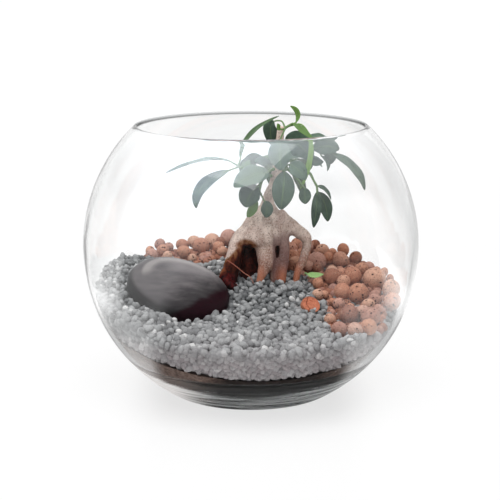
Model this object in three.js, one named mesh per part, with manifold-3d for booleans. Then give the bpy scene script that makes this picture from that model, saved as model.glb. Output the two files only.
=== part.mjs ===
// Round glass bowl planted with a small root-crown fig, grey gravel, clay pebbles and one river stone.
// Millimetres. The underside of the bowl lies on z = 0 with its middle at the origin, +Z is up,
// and the side that faces the viewer is -Y.
import * as THREE from 'three';
import { mergeVertices } from 'three/addons/utils/BufferGeometryUtils.js';
import Module from 'manifold-3d';

const wasm = await Module();
wasm.setup();

// Driving dimensions
const BOWL_RADIUS = 125; // outside of the blown sphere
const BOWL_CENTRE_Z = 108; // height of the sphere's centre above the table
const WALL = 3.2; // glass thickness at the side
const RIM_Z = 199; // top of the fire-polished rim
const RIM_ROUND = 1.6; // radius of the rounded rim
const FLOOR_Z = 9.5; // inside of the thick base
const HEEL_Z = 30; // the wall thickens from here down to the base
const BASE = [[82, 22.5], [70, 15], [52, FLOOR_Z]]; // inside of the base as [radius, z]
const BOWL_SIDES = 36;
const OUTER_ROWS = [7, 4]; // rows of faces below and above the middle of the sphere
const INNER_ROWS = 10;

const SEAT = 0.35; // clearance between pieces that rest on each other
const SOIL_MIDDLE_Z = 38; // top of the soil in the middle of the bowl
const SOIL_SLOPE = 0.05; // rise of the soil toward the back, per mm
const SOIL_TILT = -0.03; // and toward the right
const SOIL_DISH = 0.0013; // the soil is drawn up toward the two sides
const SOIL_CELLS = 10;
const GRAVEL_MIDDLE_Z = 70.5; // top of the gravel in the middle of the bowl
const GRAVEL_SLOPE = 0.17; // rise of the gravel toward the back, per mm
const FRONT_BEND = 0.00022; // the slope flattens toward the front
const BACK_BEND = 0.0007; // and near the back wall
const BACK_BEND_Y = 50; // from here on
const LEFT_MOUND = 10; // extra height of the gravel heaped on the left
const LEFT_MOUND_X = [50, 85]; // how far left of the middle it begins, and where it is full
const LEFT_MOUND_Y = [35, 75]; // toward the back it loses height between these,
const LEFT_MOUND_LOSS = 0.7; // by this share
const ROOT_MOUND = 4; // height of the gravel pushed up around the roots
const ROOT_MOUND_AT = [8, 20];
const ROOT_MOUND_REACH = 38;
const GRAIN_CELLS = 34; // squares along the grid whose corners are the grains shown in relief
const GRAIN_RELIEF = 1.9; // how far a grain stands above or below the mean surface
const PILE_SINK = 6; // the gravel is hollowed this much under the clay pebbles
const PILE_EDGE = [-3, 1]; // from this far outside a pile's outline to this far inside it
const PILE_CORE = 3.2; // thickness of the packed layer that holds a pile together
const PILE_CELLS = 12;
const PEBBLE_LIFT = 1.5; // centre of a top pebble above the gravel level
const BED_HALF = 126; // half the side of the squares that grounds are built on
const BED_BOTTOM = -5;

// Small tools
const V = (x, y, z) => new THREE.Vector3(x, y, z);
const clamp01 = (t) => Math.min(1, Math.max(0, t));
const smooth = (t) => clamp01(t) ** 2 * (3 - 2 * clamp01(t));
const ease = (value, [low, high]) => smooth((value - low) / (high - low));
const count = (n) => Array.from({ length: n }, (_, i) => i);
const rotation = (degrees) => new THREE.Matrix4().makeRotationFromEuler(
  new THREE.Euler(...degrees.map((d) => THREE.MathUtils.degToRad(d)), 'ZYX'),
);

// One repeatable random sequence, so that every build gives the same grains, pebbles and leaves.
let seed = 20261;
function random() {
  seed = (seed * 1664525 + 1013904223) % 4294967296;
  return seed / 4294967296;
}

function toSolid(positions, triangles) {
  const corner = (k) => V(...positions.slice(3 * triangles[k], 3 * triangles[k] + 3));
  let volume = 0;
  for (let k = 0; k < triangles.length; k += 3) {
    volume += corner(k).dot(corner(k + 1).cross(corner(k + 2)));
  }
  const outward = volume < 0 ? [...triangles].reverse() : triangles;
  return new wasm.Manifold(new wasm.Mesh({
    numProp: 3,
    vertProperties: new Float32Array(positions),
    triVerts: new Uint32Array(outward),
  }));
}

function fromGeometry(geometry) {
  geometry.deleteAttribute('normal');
  geometry.deleteAttribute('uv');
  const welded = mergeVertices(geometry, 1e-4);
  return toSolid([...welded.attributes.position.array], [...welded.index.array]);
}

// A closed skin through rings that all have the same number of points, ends closed by flat fans.
function loft(rings) {
  const n = rings[0].length;
  const positions = rings.flat().flatMap((p) => [p.x, p.y, p.z]);
  const triangles = [];
  for (let k = 0; k + 1 < rings.length; k++) {
    for (let i = 0; i < n; i++) {
      const [a, b] = [k * n + i, k * n + ((i + 1) % n)];
      triangles.push(a, b, b + n, a, b + n, a + n);
    }
  }
  const last = (rings.length - 1) * n;
  for (let i = 1; i + 1 < n; i++) {
    triangles.push(0, i + 1, i, last, last + i, last + i + 1);
  }
  return toSolid(positions, triangles);
}

// Points of an ellipse around (x, y) at height z.
function ellipse(x, y, z, wide, deep, sides) {
  return count(sides).map((i) => {
    const a = (2 * Math.PI * i) / sides;
    return V(x + wide * Math.cos(a), y + deep * Math.sin(a), z);
  });
}

// Solid of revolution about +Z through [radius, z] stations.
const turned = (stations) => loft(stations.map(([r, z]) => ellipse(0, 0, z, r, r, BOWL_SIDES)));

// A bent tapered root, stem or twig: a skin along a smooth curve through the points,
// radii given at even steps along it and eased between them; grow swells it evenly.
function limb({ points, radii, sides, steps }, grow = 0) {
  const curve = new THREE.CatmullRomCurve3(points.map((p) => V(...p)), false, 'centripetal');
  const rings = [];
  let side = null;
  for (let k = 0; k <= steps; k++) {
    const along = curve.getTangent(k / steps);
    side ??= Math.abs(along.z) < 0.9 ? V(0, 0, 1).cross(along) : V(1, 0, 0).cross(along);
    side = side.clone().addScaledVector(along, -side.dot(along)).normalize();
    const other = along.clone().cross(side);
    const slot = (k / steps) * (radii.length - 1);
    const low = Math.min(radii.length - 2, Math.floor(slot));
    const radius = radii[low] + (radii[low + 1] - radii[low]) * smooth(slot - low) + grow;
    const past = k === 0 ? -grow : grow * (k === steps);
    const centre = curve.getPoint(k / steps).addScaledVector(along, past);
    rings.push(ellipse(0, 0, 0, radius, radius, sides).map(
      (p) => centre.clone().addScaledVector(side, p.x).addScaledVector(other, p.y),
    ));
  }
  return loft(rings);
}

// A rounded lump: unit ball stretched by radii, turned by angles (degrees about X, Y, Z), then moved.
function lump(Shape, centre, radii, turn, grow = 0) {
  const ball = new Shape(1, 1);
  ball.scale(...radii.map((r) => r + grow));
  ball.applyMatrix4(rotation(turn));
  ball.translate(...centre);
  return fromGeometry(ball);
}

const joined = (list) => list.reduce((a, b) => a.add(b));

// Ground levels
// Mean top of the gravel: slopes up toward the back, heaped against the glass on the left and around
// the roots.
function gravelLevel(x, y) {
  const out = ease(-x, LEFT_MOUND_X);
  const heap = out * (1 - LEFT_MOUND_LOSS * ease(y, LEFT_MOUND_Y));
  const bend = y < 0 ? FRONT_BEND * y * y : -BACK_BEND * Math.max(0, y - BACK_BEND_Y) ** 2;
  const roots = 1 - ease(Math.hypot(x - ROOT_MOUND_AT[0], y - ROOT_MOUND_AT[1]), [0, ROOT_MOUND_REACH]);
  return GRAVEL_MIDDLE_Z + GRAVEL_SLOPE * y + bend + LEFT_MOUND * heap + ROOT_MOUND * roots;
}

const soilLevel = (x, y) => SOIL_MIDDLE_Z + SOIL_SLOPE * y + SOIL_TILT * x + SOIL_DISH * x * x;

// Plan outlines of the two pebble piles; the bowl's wall trims their outer side.
const RIGHT_PILE = [
  [38, 118], [25, 84], [24, 62], [30, 48], [42, 42], [46.5, 22], [46, 0], [55, -16], [52, -40],
  [55, -62], [63, -73], [80, -71], [94, -60], [130, -60], [130, 60], [80, 118],
];
const BACK_PILE = [
  [-94, 84], [-86, 62], [-76, 56], [-60, 68], [-42, 64], [-16, 77], [4, 88], [20, 86], [22, 92],
  [34, 124], [-50, 124],
];

// Signed distance from a plan point to a closed outline, positive inside.
function inside(outline, x, y) {
  let best = Infinity;
  let within = false;
  outline.forEach(([x0, y0], i) => {
    const [x1, y1] = outline[(i + 1) % outline.length];
    const t = clamp01(((x - x0) * (x1 - x0) + (y - y0) * (y1 - y0)) / ((x1 - x0) ** 2 + (y1 - y0) ** 2));
    best = Math.min(best, Math.hypot(x - x0 - t * (x1 - x0), y - y0 - t * (y1 - y0)));
    if ((y0 > y) !== (y1 > y) && x < x0 + ((y - y0) / (y1 - y0)) * (x1 - x0)) {
      within = !within;
    }
  });
  return within ? best : -best;
}

// Where the lines of a grid of square cells lie, in x as in y.
const gridLine = (i, cells) => -BED_HALF + (2 * BED_HALF * i) / cells;

// Top of the gravel at the corners of its grid: hollowed under the piles, uneven elsewhere.
const grainTops = count((GRAIN_CELLS + 1) ** 2).map((k) => {
  const x = gridLine(k % (GRAIN_CELLS + 1), GRAIN_CELLS);
  const y = gridLine(Math.floor(k / (GRAIN_CELLS + 1)), GRAIN_CELLS);
  const pile = ease(Math.max(inside(RIGHT_PILE, x, y), inside(BACK_PILE, x, y)), PILE_EDGE);
  return gravelLevel(x, y) - PILE_SINK * pile + GRAIN_RELIEF * (2 * random() - 1) * (1 - pile);
});
const grainHeight = (x, y, i, j) => grainTops[j * (GRAIN_CELLS + 1) + i];

// Everything below a surface z = height(x, y), on a grid of square cells wider than the bowl.
function ground(height, cells, lift = 0) {
  const n = cells + 1;
  const at = (i) => gridLine(i, cells);
  const plan = count(n * n).map((k) => [k % n, Math.floor(k / n)]);
  const top = plan.flatMap(([i, j]) => [at(i), at(j), height(at(i), at(j), i, j) + lift]);
  const bottom = plan.flatMap(([i, j]) => [at(i), at(j), BED_BOTTOM]);
  const deep = n * n;
  const triangles = [];
  for (const [i, j] of plan.filter((cell) => Math.max(...cell) < cells)) {
    const [a, b, c, d] = [j * n + i, j * n + i + 1, (j + 1) * n + i, (j + 1) * n + i + 1];
    triangles.push(a, b, d, a, d, c);
    triangles.push(deep + a, deep + d, deep + b, deep + a, deep + c, deep + d);
  }
  for (const i of count(cells)) {
    const front = [i, i + 1];
    const back = [cells * n + i + 1, cells * n + i];
    const right = [i * n + cells, (i + 1) * n + cells];
    const left = [(i + 1) * n, i * n];
    for (const [a, b] of [front, back, right, left]) {
      triangles.push(a, deep + a, deep + b, a, deep + b, b);
    }
  }
  return toSolid([...top, ...bottom], triangles);
}

// Glass bowl
// Outer sphere from the flat foot to the rim, half-round rim, inner sphere and the thick rounded base.
const INNER_RADIUS = BOWL_RADIUS - WALL;
const FOOT_ANGLE = Math.asin(-BOWL_CENTRE_Z / BOWL_RADIUS);
const RIM_ANGLE = Math.asin((RIM_Z - RIM_ROUND - BOWL_CENTRE_Z) / (BOWL_RADIUS - RIM_ROUND));
const HEEL_ANGLE = Math.asin((HEEL_Z - BOWL_CENTRE_Z) / INNER_RADIUS);

function arc(radius, from, to, rows) {
  return count(rows + 1).map((k) => {
    const a = from + ((to - from) * k) / rows;
    return [radius * Math.cos(a), BOWL_CENTRE_Z + radius * Math.sin(a)];
  });
}

function innerStations(offset) {
  const heel = BASE.map(([r, z]) => [r - offset, z + offset]);
  return [...arc(INNER_RADIUS - offset, RIM_ANGLE, HEEL_ANGLE, INNER_ROWS), ...heel];
}

function glassBowl() {
  const lower = arc(BOWL_RADIUS, FOOT_ANGLE, 0, OUTER_ROWS[0]);
  const upper = arc(BOWL_RADIUS, 0, RIM_ANGLE, OUTER_ROWS[1]).slice(1);
  const [r, z] = arc(BOWL_RADIUS - WALL / 2, RIM_ANGLE, RIM_ANGLE, 1)[0];
  const rim = [1, 2, 3].map((k) => {
    const a = RIM_ANGLE + (Math.PI * k) / 4;
    return [r + (WALL / 2) * Math.cos(a), z + (WALL / 2) * Math.sin(a)];
  });
  return turned([...lower, ...upper, ...rim, ...innerStations(0)]);
}

// The room inside the glass, drawn in by a clearance, that soil, gravel and pebbles fill.
const room = turned(innerStations(SEAT));

// River stone
// Flattish polished pebble lying tilted toward the viewer, its front edge sunk in the gravel. Its
// section is squared: a cosine and a sine raised to powers under one.
const STONE_CENTRE = [-54, -14, 76];
const STONE_HALF = [39, 35, 13];
const STONE_TURN = [21, 15, 6];
const STONE_SIDES = 18;
const STONE_ROWS = 9;

function riverStone(grow = 0) {
  const power = (v, p) => Math.sign(v) * Math.abs(v) ** p;
  const [long, wide, high] = STONE_HALF.map((half) => half + grow);
  const rings = count(STONE_ROWS + 1).map((k) => {
    const b = -Math.PI / 2 + (Math.PI * (k + 0.25)) / (STONE_ROWS + 0.5);
    const ring = power(Math.cos(b), 0.62);
    return count(STONE_SIDES).map((i) => {
      const a = (2 * Math.PI * i) / STONE_SIDES;
      const x = long * ring * power(Math.cos(a), 0.95);
      const y = wide * ring * power(Math.sin(a), 0.95);
      const z = high * power(Math.sin(b), 0.72);
      return V(x, y, z).applyMatrix4(rotation(STONE_TURN)).add(V(...STONE_CENTRE));
    });
  });
  return loft(rings);
}

// Fig trunk
// A tent-shaped swollen crown on thick roots that run down into the gravel, and a bare neck and stem
// above. Crown rings as [x, y, z, half width, half depth], from the neck down to its hollow underside.
const CROWN = [
  [13, 30, 136, 4.6, 4.6], [12.6, 30, 130, 8.2, 7.6], [11.5, 30, 124, 14.4, 11.5],
  [10, 29.5, 117, 17.6, 14], [8.3, 29.5, 111, 19.6, 15.5], [7.6, 30, 105, 20.6, 15],
  [9, 31, 100.5, 14.5, 10.5],
];
const CROWN_SIDES = 12;

const LIMBS = {
  stem: {
    points: [[13, 30, 128], [13.2, 30, 137], [18, 30, 149], [20.6, 30, 168], [22.7, 28, 194]],
    radii: [6, 4.3, 4, 3.2, 2.4],
    sides: 8,
    steps: 8,
  },
  leftRoot: {
    points: [
      [2, 29, 113], [-5, 27, 109], [-10.5, 24, 104], [-12.3, 21, 98], [-14, 19, 91], [-16, 17, 83],
      [-18, 15, 66],
    ],
    radii: [9, 7.5, 5.6, 5.8, 5.9, 5.7, 4.6],
    sides: 8,
    steps: 8,
  },
  curledEndOfLeftRoot: {
    points: [[-18.5, 16, 84], [-20, 11.5, 79.5], [-17, 7.5, 76.5], [-13, 6, 73.5], [-11.5, 7, 66]],
    radii: [4.2, 4, 3.5, 2.9, 2.2],
    sides: 6,
    steps: 6,
  },
  pointedRoot: {
    points: [
      [11, 27, 113], [11.3, 24, 105], [11.9, 21.5, 97], [11.4, 19, 90], [9.4, 17, 84.5], [7, 15.5, 78],
      [6, 15, 66],
    ],
    radii: [9, 7.9, 7.2, 6, 3.9, 2.3, 1.7],
    sides: 8,
    steps: 8,
  },
  thinRootBehindTheSlit: {
    points: [[17, 28, 101], [18.4, 24, 94], [18.4, 22, 88], [17.6, 21, 80], [17.5, 20, 66]],
    radii: [3.6, 3.2, 2.8, 2.4, 2],
    sides: 6,
    steps: 4,
  },
  middleRoot: {
    points: [
      [24, 28, 113], [24.9, 25, 105], [25.3, 23, 98], [25.1, 21.5, 90], [23.8, 20, 82], [23, 19, 66],
    ],
    radii: [6, 4.4, 4.1, 3.7, 3.2, 2.5],
    sides: 7,
    steps: 6,
  },
  elbowRoot: {
    points: [
      [20, 29, 123], [29.5, 29, 117.5], [37, 28.5, 112.5], [42.2, 28, 108.6], [43.7, 27.5, 103.5],
      [42.5, 27, 97], [40, 26, 89], [36, 24.5, 81], [34, 23, 66],
    ],
    radii: [8, 5.8, 4.9, 4.5, 3.5, 3.1, 3, 2.2, 1.8],
    sides: 7,
    steps: 11,
  },
  wallOfTheHollow: {
    points: [[-7, 31, 107], [-4, 30.5, 97], [-2, 31, 88], [-3, 30, 66]],
    radii: [5.5, 6.5, 7.5, 6],
    sides: 6,
    steps: 3,
  },
  backLeftRoot: {
    points: [[6, 38, 112], [-2, 47, 100], [-5, 53, 84], [-7, 58, 64]],
    radii: [9, 7, 5.4, 4],
    sides: 6,
    steps: 4,
  },
  backRightRoot: {
    points: [[22, 38, 110], [21, 44, 98], [20, 47, 84], [19, 49, 64]],
    radii: [8, 6, 5, 4],
    sides: 6,
    steps: 4,
  },
  middleBackRoot: {
    points: [[10, 37, 108], [9, 39, 96], [8, 40, 82], [7, 41, 62]],
    radii: [13, 11.5, 10.5, 9.5],
    sides: 8,
    steps: 3,
  },
};

function figTrunk(grow = 0) {
  const crown = loft(CROWN.map(([x, y, z, ...half]) => {
    const [wide, deep] = half.map((size) => size + grow);
    return ellipse(x, y, z, wide, deep, CROWN_SIDES);
  }));
  return joined([crown, ...Object.values(LIMBS).map((shape) => limb(shape, grow))]);
}

// Leaves
const BLADE = 0.9; // thickness of a leaf blade
const BLADE_FOLD = 0.22; // how far the two halves rise from the midrib
const STALK = 0.8; // half thickness of a leaf stalk
const TWIG = [1.3, 1.1]; // radius of a twig where it starts and where it ends
const BROAD_LEAF = 13; // blades as wide as this have one row of faces more

// A stalk from points on a twig, then a pointed oval blade along a curve through base, middle and tip,
// as one skin with the same six corners all along. Both faces are split alike.
// face is the direction that the upper side looks to.
function leaf([stalk, base, middle, tip, width, face]) {
  const rows = width < BROAD_LEAF ? 3 : 4;
  const control = V(...middle).multiplyScalar(2).sub(V(...base).add(V(...tip)).multiplyScalar(0.5));
  const curve = new THREE.QuadraticBezierCurve3(V(...base), control, V(...tip));
  const path = [...stalk, base];
  const stations = stalk.map((p, k) => {
    const along = V(...path[k + 1]).sub(V(...p)).normalize();
    return { centre: V(...p), along, half: STALK, thick: 2 * STALK, fold: 0 };
  });
  for (const k of count(rows + 1)) {
    const t = k / rows;
    const half = Math.max(STALK, (width / 2) * Math.sin(Math.PI * (0.06 + 0.9 * t)) ** 0.65);
    const centre = curve.getPoint(t);
    stations.push({ centre, along: curve.getTangent(t), half, thick: BLADE, fold: BLADE_FOLD });
  }
  const positions = stations.flatMap(({ centre, along, half, thick, fold }) => {
    const side = along.clone().cross(V(...face)).normalize();
    const up = side.clone().cross(along).normalize();
    const corner = (s, u) => centre.clone()
      .addScaledVector(side, u * half)
      .addScaledVector(up, fold * half * Math.abs(u) + s * thick);
    return [0.5, -0.5].flatMap((s) => [-1, 0, 1].flatMap((u) => corner(s, u).toArray()));
  });
  const quads = [];
  for (const k of count(stations.length - 1)) {
    const o = 6 * k;
    for (const j of [o, o + 1]) {
      quads.push([j, j + 1, j + 7, j + 6], [j + 3, j + 9, j + 10, j + 4]);
    }
    quads.push([o, o + 6, o + 9, o + 3], [o + 2, o + 5, o + 11, o + 8]);
  }
  const e = 6 * (stations.length - 1);
  for (const j of [0, 1]) {
    quads.push([j, j + 3, j + 4, j + 1], [e + j, e + j + 1, e + j + 4, e + j + 3]);
  }
  return toSolid(positions, quads.flatMap(([p, q, r, s]) => [p, q, r, p, r, s]));
}

// Each spray: twigs as runs of points, then leaves as
// [stalk points from the twig on, base, middle, tip, width, face].
const FRONT = [0, -1, 0.35];
const TOP = [0, -0.2, 1];
const SPRAYS = {
  ficus_spray_left: {
    twigs: [[[17, 29, 155], [6, 27, 157], [-3, 25, 160], [-10, 22, 164]]],
    leaves: [
      [[[-9.5, 22, 164]], [-17, 21, 168.5], [-37, 18, 169], [-64.5, 15, 160], 10, [0.1, -0.05, 1]],
      [[[-9, 22.3, 163.4]], [-17, 19, 161], [-36, 13, 150], [-41.5, 10, 134], 10.5, [-0.5, -1, 0.5]],
      [[[-9.8, 22.2, 164]], [-8, 23.5, 169.5], [-0.5, 26.5, 187.5], [21, 24.5, 202], 6.5, [-0.6, -0.5, 0.8]],
      [[[-8.5, 22.6, 163]], [-8, 24, 159.5], [-4.5, 24.5, 163], [-1, 26, 168], 7, [-0.3, -1, 0.3]],
    ],
  },
  ficus_spray_front_left: {
    twigs: [[[18, 29, 161], [13, 20, 160], [8, 14, 154], [6, 12, 146]]],
    leaves: [
      [[[13, 20, 160]], [13, 16, 160], [1, 10, 158], [-12.5, 5, 151], 19, [-0.2, -0.8, 0.8]],
      [[[13.5, 21, 160.3]], [13, 21, 164], [9, 21, 167.5], [2.5, 20, 167.5], 8.5, [0, -0.8, 0.6]],
      [[[8, 14, 154]], [5, 11, 150.5], [-1, 8, 144], [-3.5, 7, 135.5], 16.5, [-0.3, -1, 0.2]],
      [[[6.3, 12.3, 148]], [4.5, 12.5, 139.5], [1, 11, 133], [-3, 11, 127.5], 7, [0.3, -1, 0.5]],
      [[[6.2, 12.2, 147]], [10, 10.5, 139.5], [12, 10, 133.5], [11, 10.5, 127], 9.5, FRONT],
    ],
  },
  ficus_spray_front: {
    twigs: [[[21, 29, 165], [24, 20, 166], [27, 14, 164]], [[24, 20, 166], [33, 16, 157], [38.5, 15, 150]]],
    leaves: [
      [[[25.5, 17, 165.5]], [25, 12.5, 161], [24, 7, 148], [22.5, 6, 134], 17, FRONT],
      [[[26, 15.5, 165]], [29, 12, 167], [35, 9, 163.5], [41, 8, 156], 12.5, FRONT],
      [[[37.5, 15, 150.9]], [40, 13, 149], [40.5, 11, 143], [41, 11, 137], 9.5, FRONT],
    ],
  },
  ficus_spray_top: {
    twigs: [[[22.5, 28, 189], [26.5, 27.5, 193], [31, 27, 195.5]]],
    leaves: [
      [[[26, 27.6, 192.4], [23, 35, 197]], [17.5, 37, 196.5], [15, 38.5, 190], [17, 41, 177], 11.5,
        [-0.3, -1, 0.3]],
      [[[29, 27.2, 194.3], [38, 25.5, 195.5]], [44.5, 24, 187], [44, 22, 169], [37.5, 21, 146.5], 7,
        [1, -0.8, 0.3]],
      [[[30, 27, 195]], [34, 26.5, 197], [35.3, 26, 204.5], [29.5, 25, 209.5], 4.8, [-0.6, -0.8, 0.2]],
      [[[29.5, 27.1, 194.7]], [31.5, 25, 196.5], [39, 23, 191], [46.5, 21, 185], 6, [0.3, -0.8, 0.8]],
      [[[26, 27.6, 192.4], [24.5, 23, 190]], [22, 18.5, 185], [21.5, 14, 174], [22, 8.5, 163], 17.5, FRONT],
      [[[25, 27.8, 191.8]], [22, 24.5, 192], [20.5, 22, 194], [20, 20, 197], 4.5, [0.5, -0.8, 0.2]],
    ],
  },
  ficus_spray_right: {
    twigs: [[[22, 31, 177], [31, 35, 176], [43, 37, 177.5], [54, 36, 179]]],
    leaves: [
      [[[24.5, 32, 176.8]], [26, 32, 183], [36.5, 32, 179], [47, 31, 168], 20, [0.2, -1, 0.4]],
      [[[43, 37, 177.5]], [44, 39, 181.5], [51.5, 42, 184.5], [60, 45.5, 182], 9.5, TOP],
      [[[40, 36.6, 177.1]], [43.5, 33.5, 170], [49, 32, 166.5], [55.5, 31, 166.5], 8, [0.1, -1, 0.5]],
      [[[45, 37, 177.7]], [48, 35, 175.5], [57.5, 33, 178], [67.5, 31, 176], 14, [0.1, -1, 0.3]],
      [[[52, 36.2, 178.8]], [54, 33, 170.5], [58.5, 32, 165.5], [58.5, 32, 159], 6, [0.9, -0.6, 0.3]],
      [[[53.8, 36, 179]], [61, 35.5, 172.5], [78.5, 31, 161], [87, 29, 144.5], 12, [0.7, -0.7, 0.8]],
      [[[53.5, 36.1, 179]], [57, 39, 176.5], [61, 39, 171], [61.5, 39, 163.5], 10, [0.2, -1, 0.2]],
    ],
  },
  ficus_spray_right_low: {
    twigs: [[[21, 30, 158], [32, 31, 161], [44, 29, 158.5], [48, 27.5, 152], [50.5, 26.5, 147.5]]],
    leaves: [
      [[[49, 27.1, 150]], [51, 27, 147.8], [57, 26.5, 144.5], [61, 25, 137.5], 6.5, [0.9, -0.4, 0.3]],
      [[[50.3, 26.5, 148]], [50.3, 23.5, 143.5], [50, 21, 132], [48, 20, 117.5], 8, FRONT],
      [[[50.5, 26.5, 147.5]], [51.5, 28.5, 142.5], [57, 29, 132.5], [59, 29, 120.5], 10, FRONT],
    ],
  },
  ficus_spray_back_left: {
    twigs: [[[18, 32, 168], [12, 43, 168], [6, 52, 165]]],
    leaves: [
      [[[12, 43, 168]], [8, 45, 168], [0, 49, 164], [-5, 52, 152], 13, [-0.5, 0.8, 0.4]],
      [[[6, 52, 165]], [2, 56, 164], [-2, 66, 158], [-1, 76, 146], 14, [-0.2, 0.8, 0.5]],
      [[[6.5, 51, 165]], [9, 57, 166], [12, 68, 163], [13, 80, 152], 13, [0, 0.6, 0.8]],
      [[[10, 46, 167]], [13, 48, 163], [16, 51, 154], [17, 54, 141], 12, [0.1, 0.9, 0.3]],
    ],
  },
  ficus_spray_back_right: {
    twigs: [[[23, 33, 160], [28, 46, 164], [34, 55, 164]]],
    leaves: [
      [[[28, 46, 164]], [31, 47, 166], [43, 51, 168], [56, 54, 159], 14, TOP],
      [[[34, 55, 164]], [36, 59, 164], [42, 70, 161], [46, 81, 151], 15, TOP],
      [[[33, 54, 164]], [30, 58, 165], [26, 70, 164], [24, 82, 153], 13, TOP],
      [[[31, 51, 164]], [32, 50, 159], [37, 52, 148], [41, 53, 135], 12, [0.5, 0.6, 0.4]],
    ],
  },
};

// The small leaf that dropped on the pebbles at the foot of the trunk.
const FALLEN = [[[41.5, 23.8, 80.8]], [43.5, 23.5, 80.3], [49.5, 22.5, 79], [56.5, 21.5, 80.2], 6.5, [0, -0.5, 1]];

function spray({ twigs, leaves }) {
  const wood = twigs.map((points) => limb({ points, radii: TWIG, sides: 5, steps: points.length }));
  return joined([...wood, ...leaves.map(leaf)]);
}

// Clay pebbles
// Fired clay balls lying where they show on the real thing, as [x, y, radius, lift above the gravel
// level], then smaller ones that fill the gaps by a rule. A packed layer just above the gravel holds
// each pile together.
const RIGHT_PEBBLES = [
  [76, 86, 5.5, 1], [85, 67, 5.6], [72, 63, 6.6], [67, 83, 3.7], [59, 85, 5.5], [54, 101, 4.5],
  [53, 59, 7.8], [62, 66, 5.6], [94, 50, 4.3], [88, 44, 5.5], [99, 45, 3.2], [105, 41, 3.9],
  [109, 27, 3.9], [96, 24, 8.9], [79, 29, 7.8], [71, 36, 4.7], [63, 27, 7], [64, 41, 4.7],
  [52, 18, 4.6], [69, 0, 6.6], [81, -3, 7.9], [107, 4, 7.6], [105, -18, 6.9], [92, -14, 5.2],
  [93, -30, 4.4], [82, -34, 5.1], [73, -26, 3.7], [71, -41, 7.3], [86, -45, 7.6], [57, -46, 4.3],
  [62, -65, 5.7], [73, -66, 5.7], [83, -61, 6], [51, -3, 4.5], [56, -1, 3.2], [61, -14, 3.2],
  [65, -19, 4.5], [36, 53, 6.2], [34, 66, 6.6], [43, 73, 6.4], [46, 90, 6.4],
];
const BACK_PEBBLES = [
  [-75, 85, 4.9, 4], [-68, 89, 4.7], [-72, 78, 5.7], [-83, 79, 4.1], [-80, 62, 5.5], [-57, 98, 5.2, 1],
  [-48, 103, 5.4, 2.5], [-42, 95, 7.4], [-55, 80, 5.7], [-48, 70, 3.8], [-33, 107, 7], [-26, 104, 5.4],
  [-19, 109, 7.7, 4], [-24, 84, 4.5], [-5, 108, 6.4], [9, 109, 7], [24, 106, 6], [4, 97, 5.6],
  [14, 95, 5.8],
  [-11, 95, 5.8],
];
const RIGHT_FILL = 5;
const BACK_FILL = 2;
const THROWS = 4000;
const THROW_REACH = 110; // throws land this far from the middle at most, in x and in y
const FILL_RADIUS = [3.4, 6.4];
const FILL_SPACING = 0.8; // least distance of two pebbles, as a share of their radii together
const FILL_INSET = 0.7; // least distance from the outline, as a share of the radius
const GLASS_ROOM = 1; // least distance from the inside of the glass

function pebbleList(outline, placed, fill) {
  const lifted = (x, y, r, lift) => gravelLevel(x, y) + Math.min(lift, PILE_CORE - PILE_SINK + 0.7 * r);
  const list = placed.map(([x, y, r, raised]) => {
    const z = raised ? gravelLevel(x, y) + raised : lifted(x, y, r, PEBBLE_LIFT);
    return { x, y, z, r };
  });
  for (let k = 0; k < THROWS && list.length < placed.length + fill; k++) {
    const x = THROW_REACH * (2 * random() - 1);
    const y = THROW_REACH * (2 * random() - 1);
    const r = FILL_RADIUS[0] + (FILL_RADIUS[1] - FILL_RADIUS[0]) * random();
    const z = lifted(x, y, r, PEBBLE_LIFT * random());
    const clear = list.every((p) => Math.hypot(p.x - x, p.y - y) > FILL_SPACING * (p.r + r));
    const offGlass = Math.hypot(x, y, z - BOWL_CENTRE_Z) < INNER_RADIUS - GLASS_ROOM - r;
    if (clear && offGlass && inside(outline, x, y) > FILL_INSET * r) {
      list.push({ x, y, z, r });
    }
  }
  return list;
}

const rightList = pebbleList(RIGHT_PILE, RIGHT_PEBBLES, RIGHT_FILL);
const backList = pebbleList(BACK_PILE, BACK_PEBBLES, BACK_FILL);

function pebblePile(outline, list, bed) {
  const plate = loft([FLOOR_Z, RIM_Z].map((z) => outline.map(([x, y]) => V(x, y, z))));
  const layer = ground((x, y) => gravelLevel(x, y) - PILE_SINK + PILE_CORE, PILE_CELLS).intersect(plate);
  const balls = list.map(({ x, y, z, r }) => {
    const radii = [r, r * (0.92 + 0.1 * random()), r * 0.96];
    const turn = [360 * random(), 360 * random(), 360 * random()];
    return lump(THREE.OctahedronGeometry, [x, y, z], radii, turn);
  });
  return joined([layer, ...balls]).subtract(bed).intersect(room);
}

// A clay ball that split open, its rough flat side turned up toward the viewer.
const BROKEN_RADIUS = 7.4;
const BROKEN_CENTRE = [44, -26, gravelLevel(44, -26) + 2];
const SPLIT_TURN = [40, 20, 0];
const SPLIT_OFFSET = [0, -0.5, 2];

function brokenPebble(grow = 0) {
  const radii = [BROKEN_RADIUS, BROKEN_RADIUS * 0.9, BROKEN_RADIUS * 0.9];
  return lump(THREE.IcosahedronGeometry, BROKEN_CENTRE, radii, [0, 0, 0], grow);
}

function splitAway() {
  const corners = [[-20, -20], [20, -20], [20, 20], [-20, 20]];
  const turn = rotation(SPLIT_TURN);
  const move = V(...BROKEN_CENTRE).add(V(...SPLIT_OFFSET));
  return loft([0, 30].map((h) => corners.map(([x, y]) => V(x, y, h).applyMatrix4(turn).add(move))));
}

// Gravel and soil
const trunkRoom = figTrunk(SEAT);
const gravelTop = ground(grainHeight, GRAIN_CELLS, SEAT);
const soil = room.intersect(ground(soilLevel, SOIL_CELLS));
const gravel = room.intersect(ground(grainHeight, GRAIN_CELLS))
  .subtract(ground(soilLevel, SOIL_CELLS, SEAT))
  .subtract(riverStone(SEAT))
  .subtract(trunkRoom)
  .subtract(brokenPebble(SEAT));

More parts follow.
